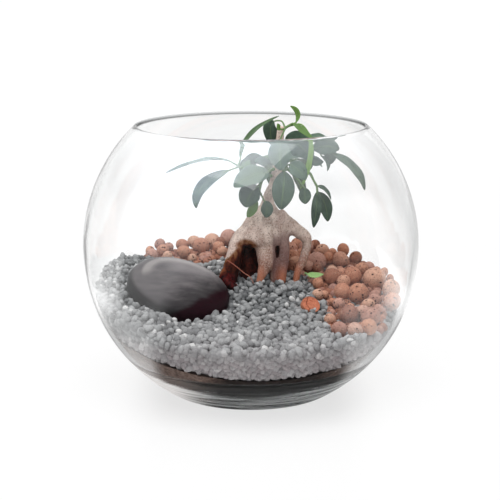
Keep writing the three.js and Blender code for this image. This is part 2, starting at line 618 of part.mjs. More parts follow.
// The pieces
const MATERIALS = {
  glass: { color: '#eef3f2', roughness: 0.03, metalness: 0, transparent: true, opacity: 0.28 },
  soil: { color: '#2b1f18', roughness: 0.95, metalness: 0 },
  gravel: { color: '#a3a3a4', roughness: 0.85, metalness: 0 },
  clay: { color: '#b0704f', roughness: 0.9, metalness: 0 },
  stone: { color: '#5c5557', roughness: 0.25, metalness: 0 },
  bark: { color: '#a0806b', roughness: 0.75, metalness: 0 },
  leaf: { color: '#2f4a2c', roughness: 0.35, metalness: 0 },
  paleLeaf: { color: '#6f9a4a', roughness: 0.4, metalness: 0 },
};

const terrarium = new THREE.Group();
terrarium.name = 'glass_plant_terrarium';

function add(name, solid, material) {
  const mesh = solid.getMesh();
  const geometry = new THREE.BufferGeometry();
  const positions = count(mesh.numVert).flatMap((v) => {
    const start = v * mesh.numProp;
    return [...mesh.vertProperties.slice(start, start + 3)];
  });
  geometry.setAttribute('position', new THREE.Float32BufferAttribute(positions, 3));
  geometry.setIndex([...mesh.triVerts]);
  geometry.computeVertexNormals();
  const piece = new THREE.Mesh(geometry, new THREE.MeshStandardMaterial(MATERIALS[material]));
  piece.name = name;
  terrarium.add(piece);
}

add('glass_bowl', glassBowl(), 'glass');
add('potting_soil', soil, 'soil');
add('gravel_bed', gravel, 'gravel');
add('clay_pebbles_right', pebblePile(RIGHT_PILE, rightList, gravelTop.add(trunkRoom)), 'clay');
add('clay_pebbles_back', pebblePile(BACK_PILE, backList, gravelTop.add(trunkRoom)), 'clay');
add('clay_pebble_broken', brokenPebble().subtract(splitAway()), 'clay');
add('river_stone', riverStone(), 'stone');
add('ficus_trunk', figTrunk(), 'bark');
for (const [name, parts] of Object.entries(SPRAYS)) {
  add(name, spray(parts).subtract(trunkRoom), 'leaf');
}
add('fallen_leaf', leaf(FALLEN), 'paleLeaf');

export default terrarium;
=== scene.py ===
from itertools import combinations

import bpy
import numpy as np
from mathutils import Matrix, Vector


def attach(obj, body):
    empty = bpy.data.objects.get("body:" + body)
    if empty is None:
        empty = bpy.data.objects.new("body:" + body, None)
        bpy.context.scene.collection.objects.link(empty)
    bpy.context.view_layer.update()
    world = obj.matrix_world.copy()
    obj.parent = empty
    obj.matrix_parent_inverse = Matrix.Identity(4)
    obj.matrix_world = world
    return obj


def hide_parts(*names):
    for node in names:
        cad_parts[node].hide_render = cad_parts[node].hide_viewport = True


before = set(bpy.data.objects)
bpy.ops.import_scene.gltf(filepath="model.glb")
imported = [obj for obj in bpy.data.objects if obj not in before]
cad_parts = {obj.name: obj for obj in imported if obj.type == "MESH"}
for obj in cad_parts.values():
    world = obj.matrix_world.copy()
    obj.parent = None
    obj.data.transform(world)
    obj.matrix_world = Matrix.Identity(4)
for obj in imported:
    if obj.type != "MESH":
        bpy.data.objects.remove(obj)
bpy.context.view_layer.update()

# Glass bowl
# One blown sphere of clear glass, cut open at the top with a fire-polished rim, flattened below into a
# thick base. It holds everything else. Lengths here and below are in millimetres, as MM turns to metres.
MM = 0.001
BOWL_RADIUS = 125.0
BOWL_CENTRE_Z = 108.0
WALL = 3.2
RIM_Z = 199.0
RIM_ROUND = 1.6
FLOOR_Z = 9.5
HEEL_Z = 30.0
BASE = [[82.0, 22.5], [70.0, 15.0], [52.0, 10.3], [26.0, FLOOR_Z], [0.5, FLOOR_Z]]
BOWL_SIDES = 160
ARC_STEPS = 84
INNER_RADIUS = BOWL_RADIUS - WALL
BLOW_MARK = 0.12
GLASS_IOR = 1.5
BASE_EDGE = 17.5
BASE_EDGE_RISE = 18.0
BASE_STREAK = (0.35, 0.35, 9.0)
RIM_SOFT = 0.92


def curve(points, count):
    """A centripetal Catmull-Rom curve through the points: in each span a cubic whose end slopes weigh the
    chords on both sides by the square roots of their lengths. Gives count + 1 rows, even in parameter."""
    known = np.asarray(points, float)
    known = np.vstack([2 * known[0] - known[1], known, 2 * known[-1] - known[-2]])
    t = np.linspace(0, len(points) - 1, count + 1)
    span = np.minimum(t.astype(int), len(points) - 2)
    t = (t - span)[:, None]
    a, b, c, d = (known[span + k] for k in range(4))
    before, here, after = (
        np.sqrt(np.linalg.norm(q - p, axis=1))[:, None] for p, q in ((a, b), (b, c), (c, d))
    )
    slope_b = ((b - a) / before - (c - a) / (before + here) + (c - b) / here) * here
    slope_c = ((c - b) / here - (d - b) / (here + after) + (d - c) / after) * here
    ease = t * t * (3 - 2 * t)
    return b * (1 - ease) + c * ease + slope_b * t * (1 - t) ** 2 - slope_c * t * t * (1 - t)


def skin(rings, marks):
    """A closed surface over rings[row, side]: two triangles between each pair of neighbours, every row
    closed on itself, and a fan to the mean point of the first and of the last row. marks holds the
    numbers that each point carries, and the end points carry the mean of theirs."""
    rows, sides, _ = rings.shape
    points = np.concatenate([rings.reshape(-1, 3), rings[[0, -1]].mean(axis=1)])
    carried = np.concatenate([marks.reshape(rows * sides, -1), marks[[0, -1]].mean(axis=1)])
    row, i = np.meshgrid(np.arange(rows - 1), np.arange(sides), indexing="ij")
    j = (i + 1) % sides
    low, high = row * sides, (row + 1) * sides
    walls = np.stack([low + i, low + j, high + j, low + i, high + j, high + i], axis=-1).reshape(-1, 3)
    i = np.arange(sides)
    j = (i + 1) % sides
    first = np.full(sides, rows * sides)
    last = (rows - 1) * sides
    fans = np.concatenate([np.stack([first, j, i], 1), np.stack([first + 1, last + i, last + j], 1)])
    triangles = np.concatenate([walls, fans])
    a, b, c = points[triangles].transpose(1, 0, 2)
    if np.einsum("ij,ij->", a, np.cross(b, c)) < 0:
        triangles = triangles[:, ::-1]
    return points, triangles, carried


def around(radius, z, sides):
    """Level circles about +Z, one row for each radius and height, which may also vary round the row."""
    a = np.linspace(0, 2 * np.pi, sides, endpoint=False)
    radius = np.broadcast_to(np.asarray(radius, float).reshape(len(radius), -1), (len(radius), sides))
    z = np.broadcast_to(np.asarray(z, float).reshape(len(z), -1), (len(z), sides))
    return np.stack([radius * np.cos(a), radius * np.sin(a), z], axis=-1)


def smooth(t):
    """0 below 0, 1 above 1, eased between."""
    t = np.clip(t, 0, 1)
    return t * t * (3 - 2 * t)


def unit(vectors):
    """The vectors, each brought to length 1."""
    return vectors / np.linalg.norm(vectors, axis=-1, keepdims=True)


def girth(radius, z):
    """Radius of the level circle at height z on a sphere of this radius about the bowl's middle."""
    return np.sqrt(radius**2 - (z - BOWL_CENTRE_Z) ** 2)


def bumps(points, size, seed):
    """Smooth noise from -1 to 1: a random number at each corner of a lattice with cells of this size,
    from the fraction of a large sine, eased between the eight corners of the cell."""
    cell = points / size
    corner = np.floor(cell)
    t = cell - corner
    t = t * t * (3 - 2 * t)
    total = np.zeros(points.shape[:-1])
    for k in range(8):
        step = np.array([k & 1, k >> 1 & 1, k >> 2])
        number = np.modf(np.sin((corner + step) @ [12.9898, 78.233, 37.719] + seed) * 43758.5453)[0]
        total += number * np.prod(np.where(step, t, 1 - t), axis=-1)
    return total


def piece(name, shape, names, material, nodes):
    """One mesh object from (points in mm, triangles, marks), each column of marks kept as a named
    attribute, tied to the frame in place of the CAD nodes."""
    points, triangles, marks = shape
    mesh = bpy.data.meshes.new(name)
    mesh.vertices.add(len(points))
    mesh.vertices.foreach_set("co", (points * MM).astype(np.float32).ravel())
    mesh.loops.add(triangles.size)
    mesh.loops.foreach_set("vertex_index", triangles.astype(np.int32).ravel())
    mesh.polygons.add(len(triangles))
    mesh.polygons.foreach_set("loop_start", np.arange(0, triangles.size, 3, dtype=np.int32))
    mesh.polygons.foreach_set("use_smooth", np.ones(len(triangles), bool))
    for column, mark in enumerate(names):
        values = mesh.attributes.new(mark, "FLOAT", "POINT")
        values.data.foreach_set("value", marks[:, column].astype(np.float32))
    mesh.update(calc_edges=True)
    mesh.materials.append(material)
    made = bpy.data.objects.new(name, mesh)
    bpy.context.scene.collection.objects.link(made)
    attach(made, "root")
    if nodes:
        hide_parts(*nodes)
    return made


class Wire:
    """One output socket in a node tree. Arithmetic with numbers and other wires adds Math nodes."""

    def __init__(self, tree, socket=None):
        self.tree = tree
        self.socket = socket

    def node(self, kind, settings=None, sockets=None, output=0):
        """Adds a node, sets its settings, then links or fills its sockets, and gives one of its outputs.
        The setting stops fills a colour ramp with (place, colour) pairs."""
        made = self.tree.nodes.new(kind)
        for name, value in (settings or {}).items():
            if name == "stops":
                ramp = made.color_ramp.elements
                while len(ramp) < len(value):
                    ramp.new(1.0)
                for element, (place, colour) in zip(ramp, value):
                    element.position = place
                    element.color = colour
            else:
                setattr(made, name, value)
        for key, value in (sockets or {}).items():
            if isinstance(value, Wire):
                self.tree.links.new(value.socket, made.inputs[key])
            else:
                made.inputs[key].default_value = value
        return Wire(self.tree, made.outputs[output] if made.outputs else None)

    def math(self, operation, *values):
        """One Math node with these numbers or wires as its values."""
        return self.node("ShaderNodeMath", {"operation": operation}, dict(enumerate(values)))

    def __add__(self, other):
        return self.math("ADD", self, other)

    def __sub__(self, other):
        return self.math("SUBTRACT", self, other)

    def __rsub__(self, other):
        return self.math("SUBTRACT", other, self)

    def __mul__(self, other):
        return self.math("MULTIPLY", self, other)

    def __truediv__(self, other):
        return self.math("DIVIDE", self, other)

    __radd__ = __add__
    __rmul__ = __mul__

    def read(self, name):
        """The named attribute of the mesh."""
        return self.node("ShaderNodeAttribute", {"attribute_name": name}, {}, "Fac")

    def place(self):
        """Object coordinates, which are metres in the shared frame."""
        return self.node("ShaderNodeTexCoord", {}, {}, "Object")

    def parts(self, vector):
        """The three numbers of a vector."""
        return [self.node("ShaderNodeSeparateXYZ", {}, {0: vector}, k) for k in range(3)]

    def cloud(self, size, detail=2.0, rough=0.5, stretch=None):
        """Noise from 0 to 1 with features of this size in mm, drawn out by stretch along X, Y and Z."""
        at = self.place()
        if stretch:
            at = self.node("ShaderNodeVectorMath", {"operation": "MULTIPLY"}, {0: at, 1: stretch})
        sockets = {"Vector": at, "Scale": 1 / (size * MM), "Detail": detail, "Roughness": rough}
        return self.node("ShaderNodeTexNoise", {}, sockets)

    def cells(self, size):
        """Distance from the middle of the nearest random cell, in cell widths, for cells of this size."""
        return self.node("ShaderNodeTexVoronoi", {}, {"Vector": self.place(), "Scale": 1 / (size * MM)})

    def fade(self, value, low, high):
        """0 where value is at low, 1 where it is at high, eased between; low may be above high."""
        sockets = {"Value": value, "From Min": low, "From Max": high}
        return self.node("ShaderNodeMapRange", {"interpolation_type": "SMOOTHSTEP"}, sockets)

    def mix(self, share, a, b):
        """Colour a, with this share of colour b."""
        return self.node("ShaderNodeMix", {"data_type": "RGBA"}, {0: share, 6: a, 7: b}, 2)

    def bump(self, height, depth):
        """A normal bent by a height from 0 to 1 that stands for depth mm."""
        sockets = {"Height": height, "Distance": depth * MM, "Strength": 1.0}
        return self.node("ShaderNodeBump", {}, sockets)

    def ray(self, kind):
        """1 for rays of this kind, such as Camera or Diffuse, and 0 for others."""
        return self.node("ShaderNodeLightPath", {}, {}, f"Is {kind} Ray")

    def mirrored(self):
        """1 for rays that polished glass has thrown back, and 0 for others."""
        depth = self.node("ShaderNodeLightPath", {}, {}, "Glossy Depth")
        return self.ray("Singular") * self.math("MINIMUM", depth, 1.0)

    def finish(self, shader):
        """Puts the shader on the surface."""
        self.node("ShaderNodeOutputMaterial", {}, {"Surface": shader})

    def surface(self, colour, rough, more):
        """Puts on a Principled surface of this colour and roughness, with these other sockets set."""
        sockets = {"Base Color": colour, "Roughness": rough, **more}
        self.finish(self.node("ShaderNodeBsdfPrincipled", {}, sockets))


def blank(name):
    """A new material with no nodes, and a wire to build them from."""
    made = bpy.data.materials.new(name)
    made.use_nodes = True
    made.node_tree.nodes.clear()
    return made, Wire(made.node_tree)


def paint(red, green, blue):
    """A colour as a screen shows it, each part from 0 to 255, as the linear numbers that shaders use."""
    part = np.array([red, green, blue]) / 255
    linear = np.where(part <= 0.04045, part / 12.92, ((part + 0.055) / 1.055) ** 2.4)
    return (*linear.tolist(), 1.0)


def bowl_shape():
    """A profile turned about +Z: flat foot, outer arc, half-round rim, inner arc, then the thick base. The
    inside wavers a little, as blown glass does, by smooth noise that fades out at the rim, and the base has
    faint drawn rings. The marks are 1 on the back half of the rim, and 1 low on the outside, up to where
    the thick base is seen edge on."""
    foot = np.arcsin(-BOWL_CENTRE_Z / BOWL_RADIUS)
    rim = np.arcsin((RIM_Z - RIM_ROUND - BOWL_CENTRE_Z) / (BOWL_RADIUS - RIM_ROUND))
    heel = np.arcsin((HEEL_Z - BOWL_CENTRE_Z) / INNER_RADIUS)
    foot_radius = BOWL_RADIUS * np.cos(foot)
    sole = np.stack([np.linspace(0.5, foot_radius - 0.3, 10), np.zeros(10)], 1)
    arcs = []
    for radius, start, end in ((BOWL_RADIUS, foot, rim), (INNER_RADIUS, rim, heel)):
        a = np.linspace(start, end, ARC_STEPS)
        arcs.append(np.stack([radius * np.cos(a), BOWL_CENTRE_Z + radius * np.sin(a)], 1))
    middle = np.array([np.cos(rim), np.sin(rim)]) * (BOWL_RADIUS - WALL / 2) + [0, BOWL_CENTRE_Z]
    a = rim + np.linspace(0, np.pi, 12)[1:-1]
    lip = middle + WALL / 2 * np.stack([np.cos(a), np.sin(a)], 1)
    heel_radius = INNER_RADIUS * np.cos(heel)
    profile = np.concatenate([sole, arcs[0], lip, arcs[1], curve([[heel_radius, HEEL_Z], *BASE], 60)[1:]])
    rings = around(profile[:, 0], profile[:, 1], BOWL_SIDES)
    row = np.arange(len(rings))
    outer, inner = row < len(sole) + ARC_STEPS, row >= len(sole) + ARC_STEPS + len(lip)
    waver = bumps(rings, 34.0, 3.0) + 0.5 * bumps(rings, 13.0, 5.0)
    fade = np.clip((RIM_Z - 8 - rings[..., 2]) / 40, 0, 1) * inner[:, None]
    outward = unit(rings - [0, 0, BOWL_CENTRE_Z])
    drawn = 0.06 * np.sin(rings[..., 2] * 2.1 + waver) * np.clip((HEEL_Z - rings[..., 2]) / 8, 0, 1)
    rings = rings - outward * (BLOW_MARK * fade * (1 + waver) + drawn * inner[:, None])[..., None]
    turn = outward[..., 1] / np.hypot(outward[..., 0], outward[..., 1])
    edge = BASE_EDGE + BASE_EDGE_RISE * (1 - np.abs(turn))
    foot_mark = smooth((edge - rings[..., 2]) / 2 + 0.5) * outer[:, None]
    rim_mark = smooth((rings[..., 2] - RIM_Z) / RIM_ROUND + 1.9) * smooth((turn + 0.12) / 0.25)
    return skin(rings, np.stack([rim_mark, foot_mark], -1))


def glass():
    """Clear glass, neutral. Lamp light, light between dull surfaces and the soft gleam of the contents pass
    straight on, so that the contents are lit once, and the eye sees true refraction. The back of the
    polished rim is softened, as it shows as a thin line. The thick base is painted with a streaky grey
    haze, paler at both ends: painted light for the light it gathers from all sides."""
    made, w = blank("clear_glass")
    cast = w.mix(w.cloud(60, 1.0), paint(254, 254, 254), paint(250, 251, 251))
    sockets = {"Base Color": cast, "Roughness": 0.0, "IOR": GLASS_IOR, "Transmission Weight": 1.0}
    body = w.node("ShaderNodeBsdfPrincipled", {}, sockets)
    # Painted light: a streaky grey haze on the thick base, paler at the left and right ends, in place of the
    # light the base gathers and throws back.
    streak = w.fade(w.cloud(22, 4.0, 0.6, BASE_STREAK), 0.35, 0.65)
    x, _, _ = w.parts(w.place())
    left, right = w.fade(x, -0.02, -0.06), w.fade(x, 0.03, 0.06)
    grey = w.mix(streak, paint(118, 120, 120), paint(212, 215, 215))
    grey = w.mix(left * 0.85, grey, paint(244, 240, 238))
    painted_base_light = w.node("ShaderNodeBsdfDiffuse", {}, {"Color": grey})
    painted_light_share = 0.14 + 0.3 * streak + 0.62 * left + 0.24 * right
    body = w.node("ShaderNodeMixShader", {}, {0: w.read("foot") * painted_light_share, 1: body, 2: painted_base_light})
    gleam = w.ray("Glossy") * (1 - w.ray("Singular"))
    share = w.math("MAXIMUM", w.math("MAXIMUM", w.ray("Shadow"), w.ray("Diffuse")), gleam)
    share = w.math("MAXIMUM", share, w.read("rim") * RIM_SOFT)
    open_way = w.node("ShaderNodeBsdfTransparent", {}, {"Color": paint(249, 250, 250)})
    w.finish(w.node("ShaderNodeMixShader", {}, {0: share, 1: body, 2: open_way}))
    return made


piece("glass_bowl_blown", bowl_shape(), ["rim", "foot"], glass(), ["glass_bowl"])

# Potting soil
# A thin wedge of damp dark soil on the floor of the bowl, poured in first. It shows through the glass as
# a band under the gravel, browner and drier on the left.
SEAT = 0.35
SOIL_MIDDLE_Z = 38.0
SOIL_SLOPE = 0.05
SOIL_TILT = -0.03
SOIL_DISH = 0.0013
SOIL_SIDES = 240


def soil_level(x, y):
    """Top of the soil: a tilted plane, with a share of x squared that lifts it toward both sides."""
    return SOIL_MIDDLE_Z + SOIL_SLOPE * y + SOIL_TILT * x + SOIL_DISH * x * x


def wall_height(level, inner, angle):
    """Height at which a ground level meets the sphere of this radius, found by going back and forth
    between the radius at a height and the level at that radius."""
    z = np.full_like(angle, 50.0)
    for _ in range(30):
        radius = girth(inner, z)
        z = 0.5 * z + 0.5 * level(radius * np.cos(angle), radius * np.sin(angle))
    return z


def soil_shape():
    """Rings out along the floor, up the wall to the soil level and back in over the top, drawn in from
    the glass by lumpy noise."""
    inner = INNER_RADIUS - SEAT
    angle = np.linspace(0, 2 * np.pi, SOIL_SIDES, endpoint=False)
    top = wall_height(soil_level, inner, angle)
    floor = [[radius - 0.4, z + SEAT] for radius, z in reversed(BASE)]
    floor = curve([*floor, [girth(inner, HEEL_Z) - 0.3, HEEL_Z + 0.2]], 40)
    up = np.linspace(0.02, 1, 24)[:, None]
    z = HEEL_Z + (top - HEEL_Z) * up
    radius = girth(inner, z)
    over = radius[-1] * np.linspace(0.98, 0.02, 40)[:, None]
    lid = soil_level(over * np.cos(angle), over * np.sin(angle))
    rings = [(floor[:, 0], floor[:, 1]), (radius, z), (over, lid)]
    rings = np.concatenate([around(*pair, SOIL_SIDES) for pair in rings])
    lumps = 0.3 * (1 + bumps(rings, 5.0, 1.0)) + 0.25 * (1 + bumps(rings, 1.9, 2.0))
    inward = unit([0, 0, BOWL_CENTRE_Z] - rings)
    wall = np.arange(len(rings)) < len(floor) + len(up)
    rings = rings + np.where(wall[:, None, None], inward, [0, 0, -0.6]) * lumps[..., None]
    return skin(rings, np.zeros((*rings.shape[:2], 1)))


def soil():
    """Near-black damp crumbs with brown and pale specks, drier and browner toward both sides, and most at
    the left."""
    made, w = blank("potting_soil_damp")
    x, _, _ = w.parts(w.place())
    x = x + 0.02 * (w.cloud(14, 2.0) - 0.5)
    dry = w.math("MAXIMUM", w.fade(x, -0.015, -0.035), w.fade(x, 0.04, 0.065) * 0.6)
    crumbs = w.cloud(2.2, 4.0, 0.7)
    damp = w.mix(crumbs, paint(12, 8, 7), paint(46, 34, 30))
    brown = w.mix(w.fade(crumbs, 0.35, 0.7), paint(74, 56, 50), paint(140, 118, 108))
    colour = w.mix(dry, damp, brown)
    colour = w.mix(w.fade(w.cells(2.6), 0.16, 0.08) * 0.35, colour, paint(150, 132, 118))
    rough = w.fade(crumbs, 0.1, 0.9) * 0.3 + 0.62
    w.surface(colour, rough, {"Specular IOR Level": 0.1, "Normal": w.bump(crumbs, 0.7)})
    return made


piece("potting_soil_wedge", soil_shape(), [], soil(), ["potting_soil"])

# Gravel
# Grey angular grains of 4 to 8 mm, poured over the soil and sloping down toward the viewer. They lie
# loose against the stone, the roots and the glass. A darker body fills the bed under the grains in place
# of the imported one; its dark grey is painted shade for the gaps between them.
GRAVEL_MIDDLE_Z = 70.5
GRAVEL_SLOPE = 0.17
FRONT_BEND = 0.00022
BACK_BEND = 0.0007
LEFT_MOUND = 10.0
ROOT_MOUND = 4.0
ROOT_MOUND_REACH = 38.0
PILE_SINK = 6.0
GRAIN_PITCH = 4.5
ROW_PITCH = 0.866
COVER = 2.8
GRAIN_LAYERS = {"top": 0.5, "under": 3.4}
WALL_GRAINS_Z = (22.0, 98.0)
RIGHT_PILE = [
    [38, 118], [25, 84], [24, 62], [30, 48], [42, 42], [46.5, 22], [46, 0], [55, -16], [52, -40],
    [55, -62], [63, -73], [80, -71], [94, -60], [130, -60], [130, 60], [80, 118],
]
BACK_PILE = [
    [-94, 84], [-86, 62], [-76, 56], [-60, 68], [-42, 64], [-16, 77], [4, 88], [20, 86], [22, 92],
    [34, 124], [-50, 124],
]
BED_HALF = 126.0
GRAIN_CELLS = 34
GRAIN_RELIEF = 1.9
STONE_CENTRE = np.array([-54.0, -14.0, 76.0])
STONE_HALF = np.array([39.0, 35.0, 13.0])
STONE_TURN = np.radians([21.0, 15.0, 6.0])
LIMBS = [
    [[[13, 30, 128], [13.2, 30, 137], [18, 30, 149], [20.6, 30, 168], [22.7, 28, 194]],
     [6, 4.3, 4, 3.2, 2.4]],
    [[[2, 29, 113], [-5, 27, 109], [-10.5, 24, 104], [-12.3, 21, 98], [-14, 19, 91], [-16, 17, 83],
      [-18, 15, 66]], [9, 7.5, 5.6, 5.8, 5.9, 5.7, 4.6]],
    [[[-18.5, 16, 84], [-20, 11.5, 79.5], [-17, 7.5, 76.5], [-13, 6, 73.5], [-11.5, 7, 66]],
     [4.2, 4, 3.5, 2.9, 2.2]],
    [[[11, 27, 113], [11.3, 24, 105], [11.9, 21.5, 97], [11.4, 19, 90], [9.4, 17, 84.5], [7, 15.5, 78],
      [6, 15, 66]], [9, 7.9, 7.2, 6, 3.9, 2.3, 1.7]],
    [[[17, 28, 101], [18.4, 24, 94], [18.4, 22, 88], [17.6, 21, 80], [17.5, 20, 66]],
     [3.6, 3.2, 2.8, 2.4, 2]],
    [[[24, 28, 113], [24.9, 25, 105], [25.3, 23, 98], [25.1, 21.5, 90], [23.8, 20, 82], [23, 19, 66]],
     [6, 4.4, 4.1, 3.7, 3.2, 2.5]],
    [[[20, 29, 123], [29.5, 29, 117.5], [37, 28.5, 112.5], [42.2, 28, 108.6], [43.7, 27.5, 103.5],
      [42.5, 27, 97], [40, 26, 89], [36, 24.5, 81], [34, 23, 66]], [8, 5.8, 4.9, 4.5, 3.5, 3.1, 3, 2.2, 1.8]],
    [[[-7, 31, 107], [-4, 30.5, 97], [-2, 31, 88], [-3, 30, 66]], [5.5, 6.5, 7.5, 6]],
    [[[6, 38, 112], [-2, 47, 100], [-5, 53, 84], [-7, 58, 64]], [9, 7, 5.4, 4]],
    [[[22, 38, 110], [21, 44, 98], [20, 47, 84], [19, 49, 64]], [8, 6, 5, 4]],
    [[[10, 37, 108], [9, 39, 96], [8, 40, 82], [7, 41, 62]], [13, 11.5, 10.5, 9.5]],
]
chance = np.random.default_rng(20261)


def gravel_level(x, y):
    """Mean top of the gravel: a slope, flatter at the front and at the back wall, with a heap on the
    left and a low mound round the roots."""
    heap = smooth((-x - 50) / 35) * (1 - 0.7 * smooth((y - 35) / 40))
    bend = np.where(y < 0, FRONT_BEND * y * y, -BACK_BEND * np.maximum(0, y - 50) ** 2)
    roots = 1 - smooth(np.hypot(x - 8, y - 20) / ROOT_MOUND_REACH)
    return GRAVEL_MIDDLE_Z + GRAVEL_SLOPE * y + bend + LEFT_MOUND * heap + ROOT_MOUND * roots


def inside(outline, x, y):
    """Distance from plan points to a closed outline, positive inside: the nearest point on any edge, and
    an odd number of edges crossed on the way out."""
    a = np.asarray(outline, float)
    b = np.roll(a, -1, axis=0)
    x, y = np.asarray(x, float)[..., None], np.asarray(y, float)[..., None]
    run, rise = (b - a).T
    t = np.clip(((x - a[:, 0]) * run + (y - a[:, 1]) * rise) / (run**2 + rise**2), 0, 1)
    gap = np.hypot(x - a[:, 0] - t * run, y - a[:, 1] - t * rise).min(axis=-1)
    level = (a[:, 1] > y) != (b[:, 1] > y)
    crossed = level & (x < a[:, 0] + (y - a[:, 1]) / np.where(rise == 0, 1, rise) * run)
    return np.where(crossed.sum(axis=-1) % 2 == 1, gap, -gap)


def lottery(seed):
    """The repeatable random sequence of the solids, a linear congruence, so that the same grains stand
    up and the same pebbles fall into the gaps."""
    while True:
        seed = (seed * 1664525 + 1013904223) % 4294967296
        yield seed / 4294967296


def grain_tops():
    """Top of the gravel at the corners of a square grid, row by row: the gravel level, hollowed under the
    two piles of clay pebbles, and uneven elsewhere."""
    line = np.linspace(-BED_HALF, BED_HALF, GRAIN_CELLS + 1)
    x, y = np.meshgrid(line, line)
    pile = smooth((np.maximum(inside(RIGHT_PILE, x, y), inside(BACK_PILE, x, y)) + 3) / 4)
    drawn = np.array([next(luck) for _ in range(x.size)]).reshape(x.shape)
    return gravel_level(x, y) - PILE_SINK * pile + GRAIN_RELIEF * (2 * drawn - 1) * (1 - pile)


luck = lottery(20261)
GRAIN_TOPS = grain_tops()


def bed_level(x, y):
    """Top of the gravel: each square of the grid is split into two flat triangles along its diagonal."""
    u, v = ((np.asarray(t) + BED_HALF) * GRAIN_CELLS / (2 * BED_HALF) for t in (x, y))
    i, j = (np.clip(t.astype(int), 0, GRAIN_CELLS - 1) for t in (u, v))
    u, v = u - i, v - j
    a, b = GRAIN_TOPS[j, i], GRAIN_TOPS[j, i + 1]
    c, d = GRAIN_TOPS[j + 1, i], GRAIN_TOPS[j + 1, i + 1]
    return np.where(u > v, a + (b - a) * u + (d - b) * v, a + (d - c) * u + (c - a) * v)


def turn_matrix(angles):
    """Rotation about X, then Y, then Z."""
    (ca, cb, cc), (sa, sb, sc) = np.cos(angles), np.sin(angles)
    about_x = np.array([[1, 0, 0], [0, ca, -sa], [0, sa, ca]])
    about_y = np.array([[cb, 0, sb], [0, 1, 0], [-sb, 0, cb]])
    about_z = np.array([[cc, -sc, 0], [sc, cc, 0], [0, 0, 1]])
    return about_z @ about_y @ about_x


def off_stone(points, clear):
    """True outside the river stone swollen by clear."""
    x, y, z = (np.abs((points - STONE_CENTRE) @ turn_matrix(STONE_TURN)) / (STONE_HALF + clear)).T
    return ((x**2.1 + y**2.1) ** 1.53 + z**2.78) > 1


def off_trunk(points, clear):
    """True where no limb of the trunk passes nearer than its own radius and this clearance."""
    free = np.ones(len(points), bool)
    for path, radii in LIMBS:
        centre = curve(path, 30)
        thick = curve(np.array(radii, float)[:, None], 30)[:, 0]
        gap = np.linalg.norm(points[:, None] - centre, axis=-1) - thick
        free &= gap.min(axis=1) > clear
    return free


def random_turns(count):
    """Rotations drawn evenly: unit quaternions as matrices."""
    w, x, y, z = unit(chance.normal(size=(count, 4))).T
    rows = [
        [1 - 2 * (y * y + z * z), 2 * (x * y - w * z), 2 * (x * z + w * y)],
        [2 * (x * y + w * z), 1 - 2 * (x * x + z * z), 2 * (y * z - w * x)],
        [2 * (x * z - w * y), 2 * (y * z + w * x), 1 - 2 * (x * x + y * y)],
    ]
    return np.array(rows).transpose(2, 0, 1)


def copies(forms, triangles, centres, sizes, turns, marks):
    """Many bodies as one shape: each form is stretched by its sizes, turned, and moved to its centre."""
    count, corners = len(centres), forms.shape[-2]
    points = np.einsum("nij,nkj->nki", turns, forms * sizes[:, None]) + centres[:, None]
    shifted = triangles + corners * np.arange(count)[:, None, None]
    return points.reshape(-1, 3), shifted.reshape(-1, 3), np.repeat(marks, corners, axis=0)


def crumb():
    """Eighteen corners, at the tips of an octahedron and over the middles of its edges, and the 32
    triangles between neighbours."""
    tips = np.concatenate([np.eye(3), -np.eye(3)])
    corners = [*tips, *[a + b for i, a in enumerate(tips) for b in tips[i + 1:] if a @ b == 0]]
    corners = unit(np.array(corners))
    beside = np.linalg.norm(corners[:, None] - corners, axis=-1) < 1.1
    triples = np.array(list(combinations(range(len(corners)), 3)))
    i, j, k = triples.T
    triangles = triples[beside[i, j] & beside[j, k] & beside[i, k]]
    turned_in = np.linalg.det(corners[triangles]) < 0
    triangles[turned_in] = triangles[turned_in][:, [0, 2, 1]]
    return corners, triangles


def grains(centres, half):
    """Worn angular stones: crumbs with every corner pushed in or out a little and then pressed flat beyond
    two random planes, stretched unevenly and turned at random. Each carries a tone and a hue."""
    count = len(centres)
    corners, triangles = crumb()
    forms = corners * chance.uniform(0.93, 1.1, (count, len(corners), 1))
    for _ in range(2):
        away = unit(chance.normal(size=(count, 3)))
        over = np.einsum("nkj,nj->nk", forms, away) - chance.uniform(0.65, 0.9, (count, 1))
        forms = forms - np.maximum(over, 0)[..., None] * away[:, None]
    sizes = half[:, None] * chance.uniform([1.0, 0.85, 0.75], [1.35, 1.1, 0.95], (count, 3))
    tones = chance.uniform(0, 1, (count, 2))
    return copies(forms, triangles, centres, sizes, random_turns(count), tones)


def scattered(pitch):
    """Plan points of a triangular grid over the bowl, whose rows lie ROW_PITCH of a pitch apart, each moved
    at random by up to a third of the pitch."""
    rows = int(2 * BOWL_RADIUS / (pitch * ROW_PITCH)) + 1
    i, j = np.meshgrid(np.arange(rows + 1), np.arange(rows), indexing="ij")
    x = (i + 0.5 * (j % 2)) * pitch - BOWL_RADIUS
    y = j * pitch * ROW_PITCH - BOWL_RADIUS
    plan = np.stack([x, y], -1).reshape(-1, 2)
    return plan + chance.uniform(-pitch / 3, pitch / 3, plan.shape)


def grain_half(y):
    """Half the width of a grain: larger toward the front, with 8 in 100 a quarter larger."""
    half = chance.uniform(1.8, 2.7, y.shape) + 0.75 * smooth(-y / 90)
    return half * np.where(chance.uniform(0, 1, y.shape) < 0.08, 1.25, 1.0)


def top_grains(sink):
    """Grains over the whole bed, their middles about this far under its top, clear of the glass, the stone
    and the trunk."""
    x, y = scattered(GRAIN_PITCH).T
    half = grain_half(y)
    z = bed_level(x, y) - sink + chance.uniform(-0.9, 0.6, x.shape)
    centres = np.stack([x, y, z], 1)
    keep = np.linalg.norm(centres - [0, 0, BOWL_CENTRE_Z], axis=1) < INNER_RADIUS - 0.3 - 1.3 * half
    keep &= off_stone(centres, 0.55 * half.mean()) & off_trunk(centres, 0.3)
    return grains(centres[keep], half[keep])


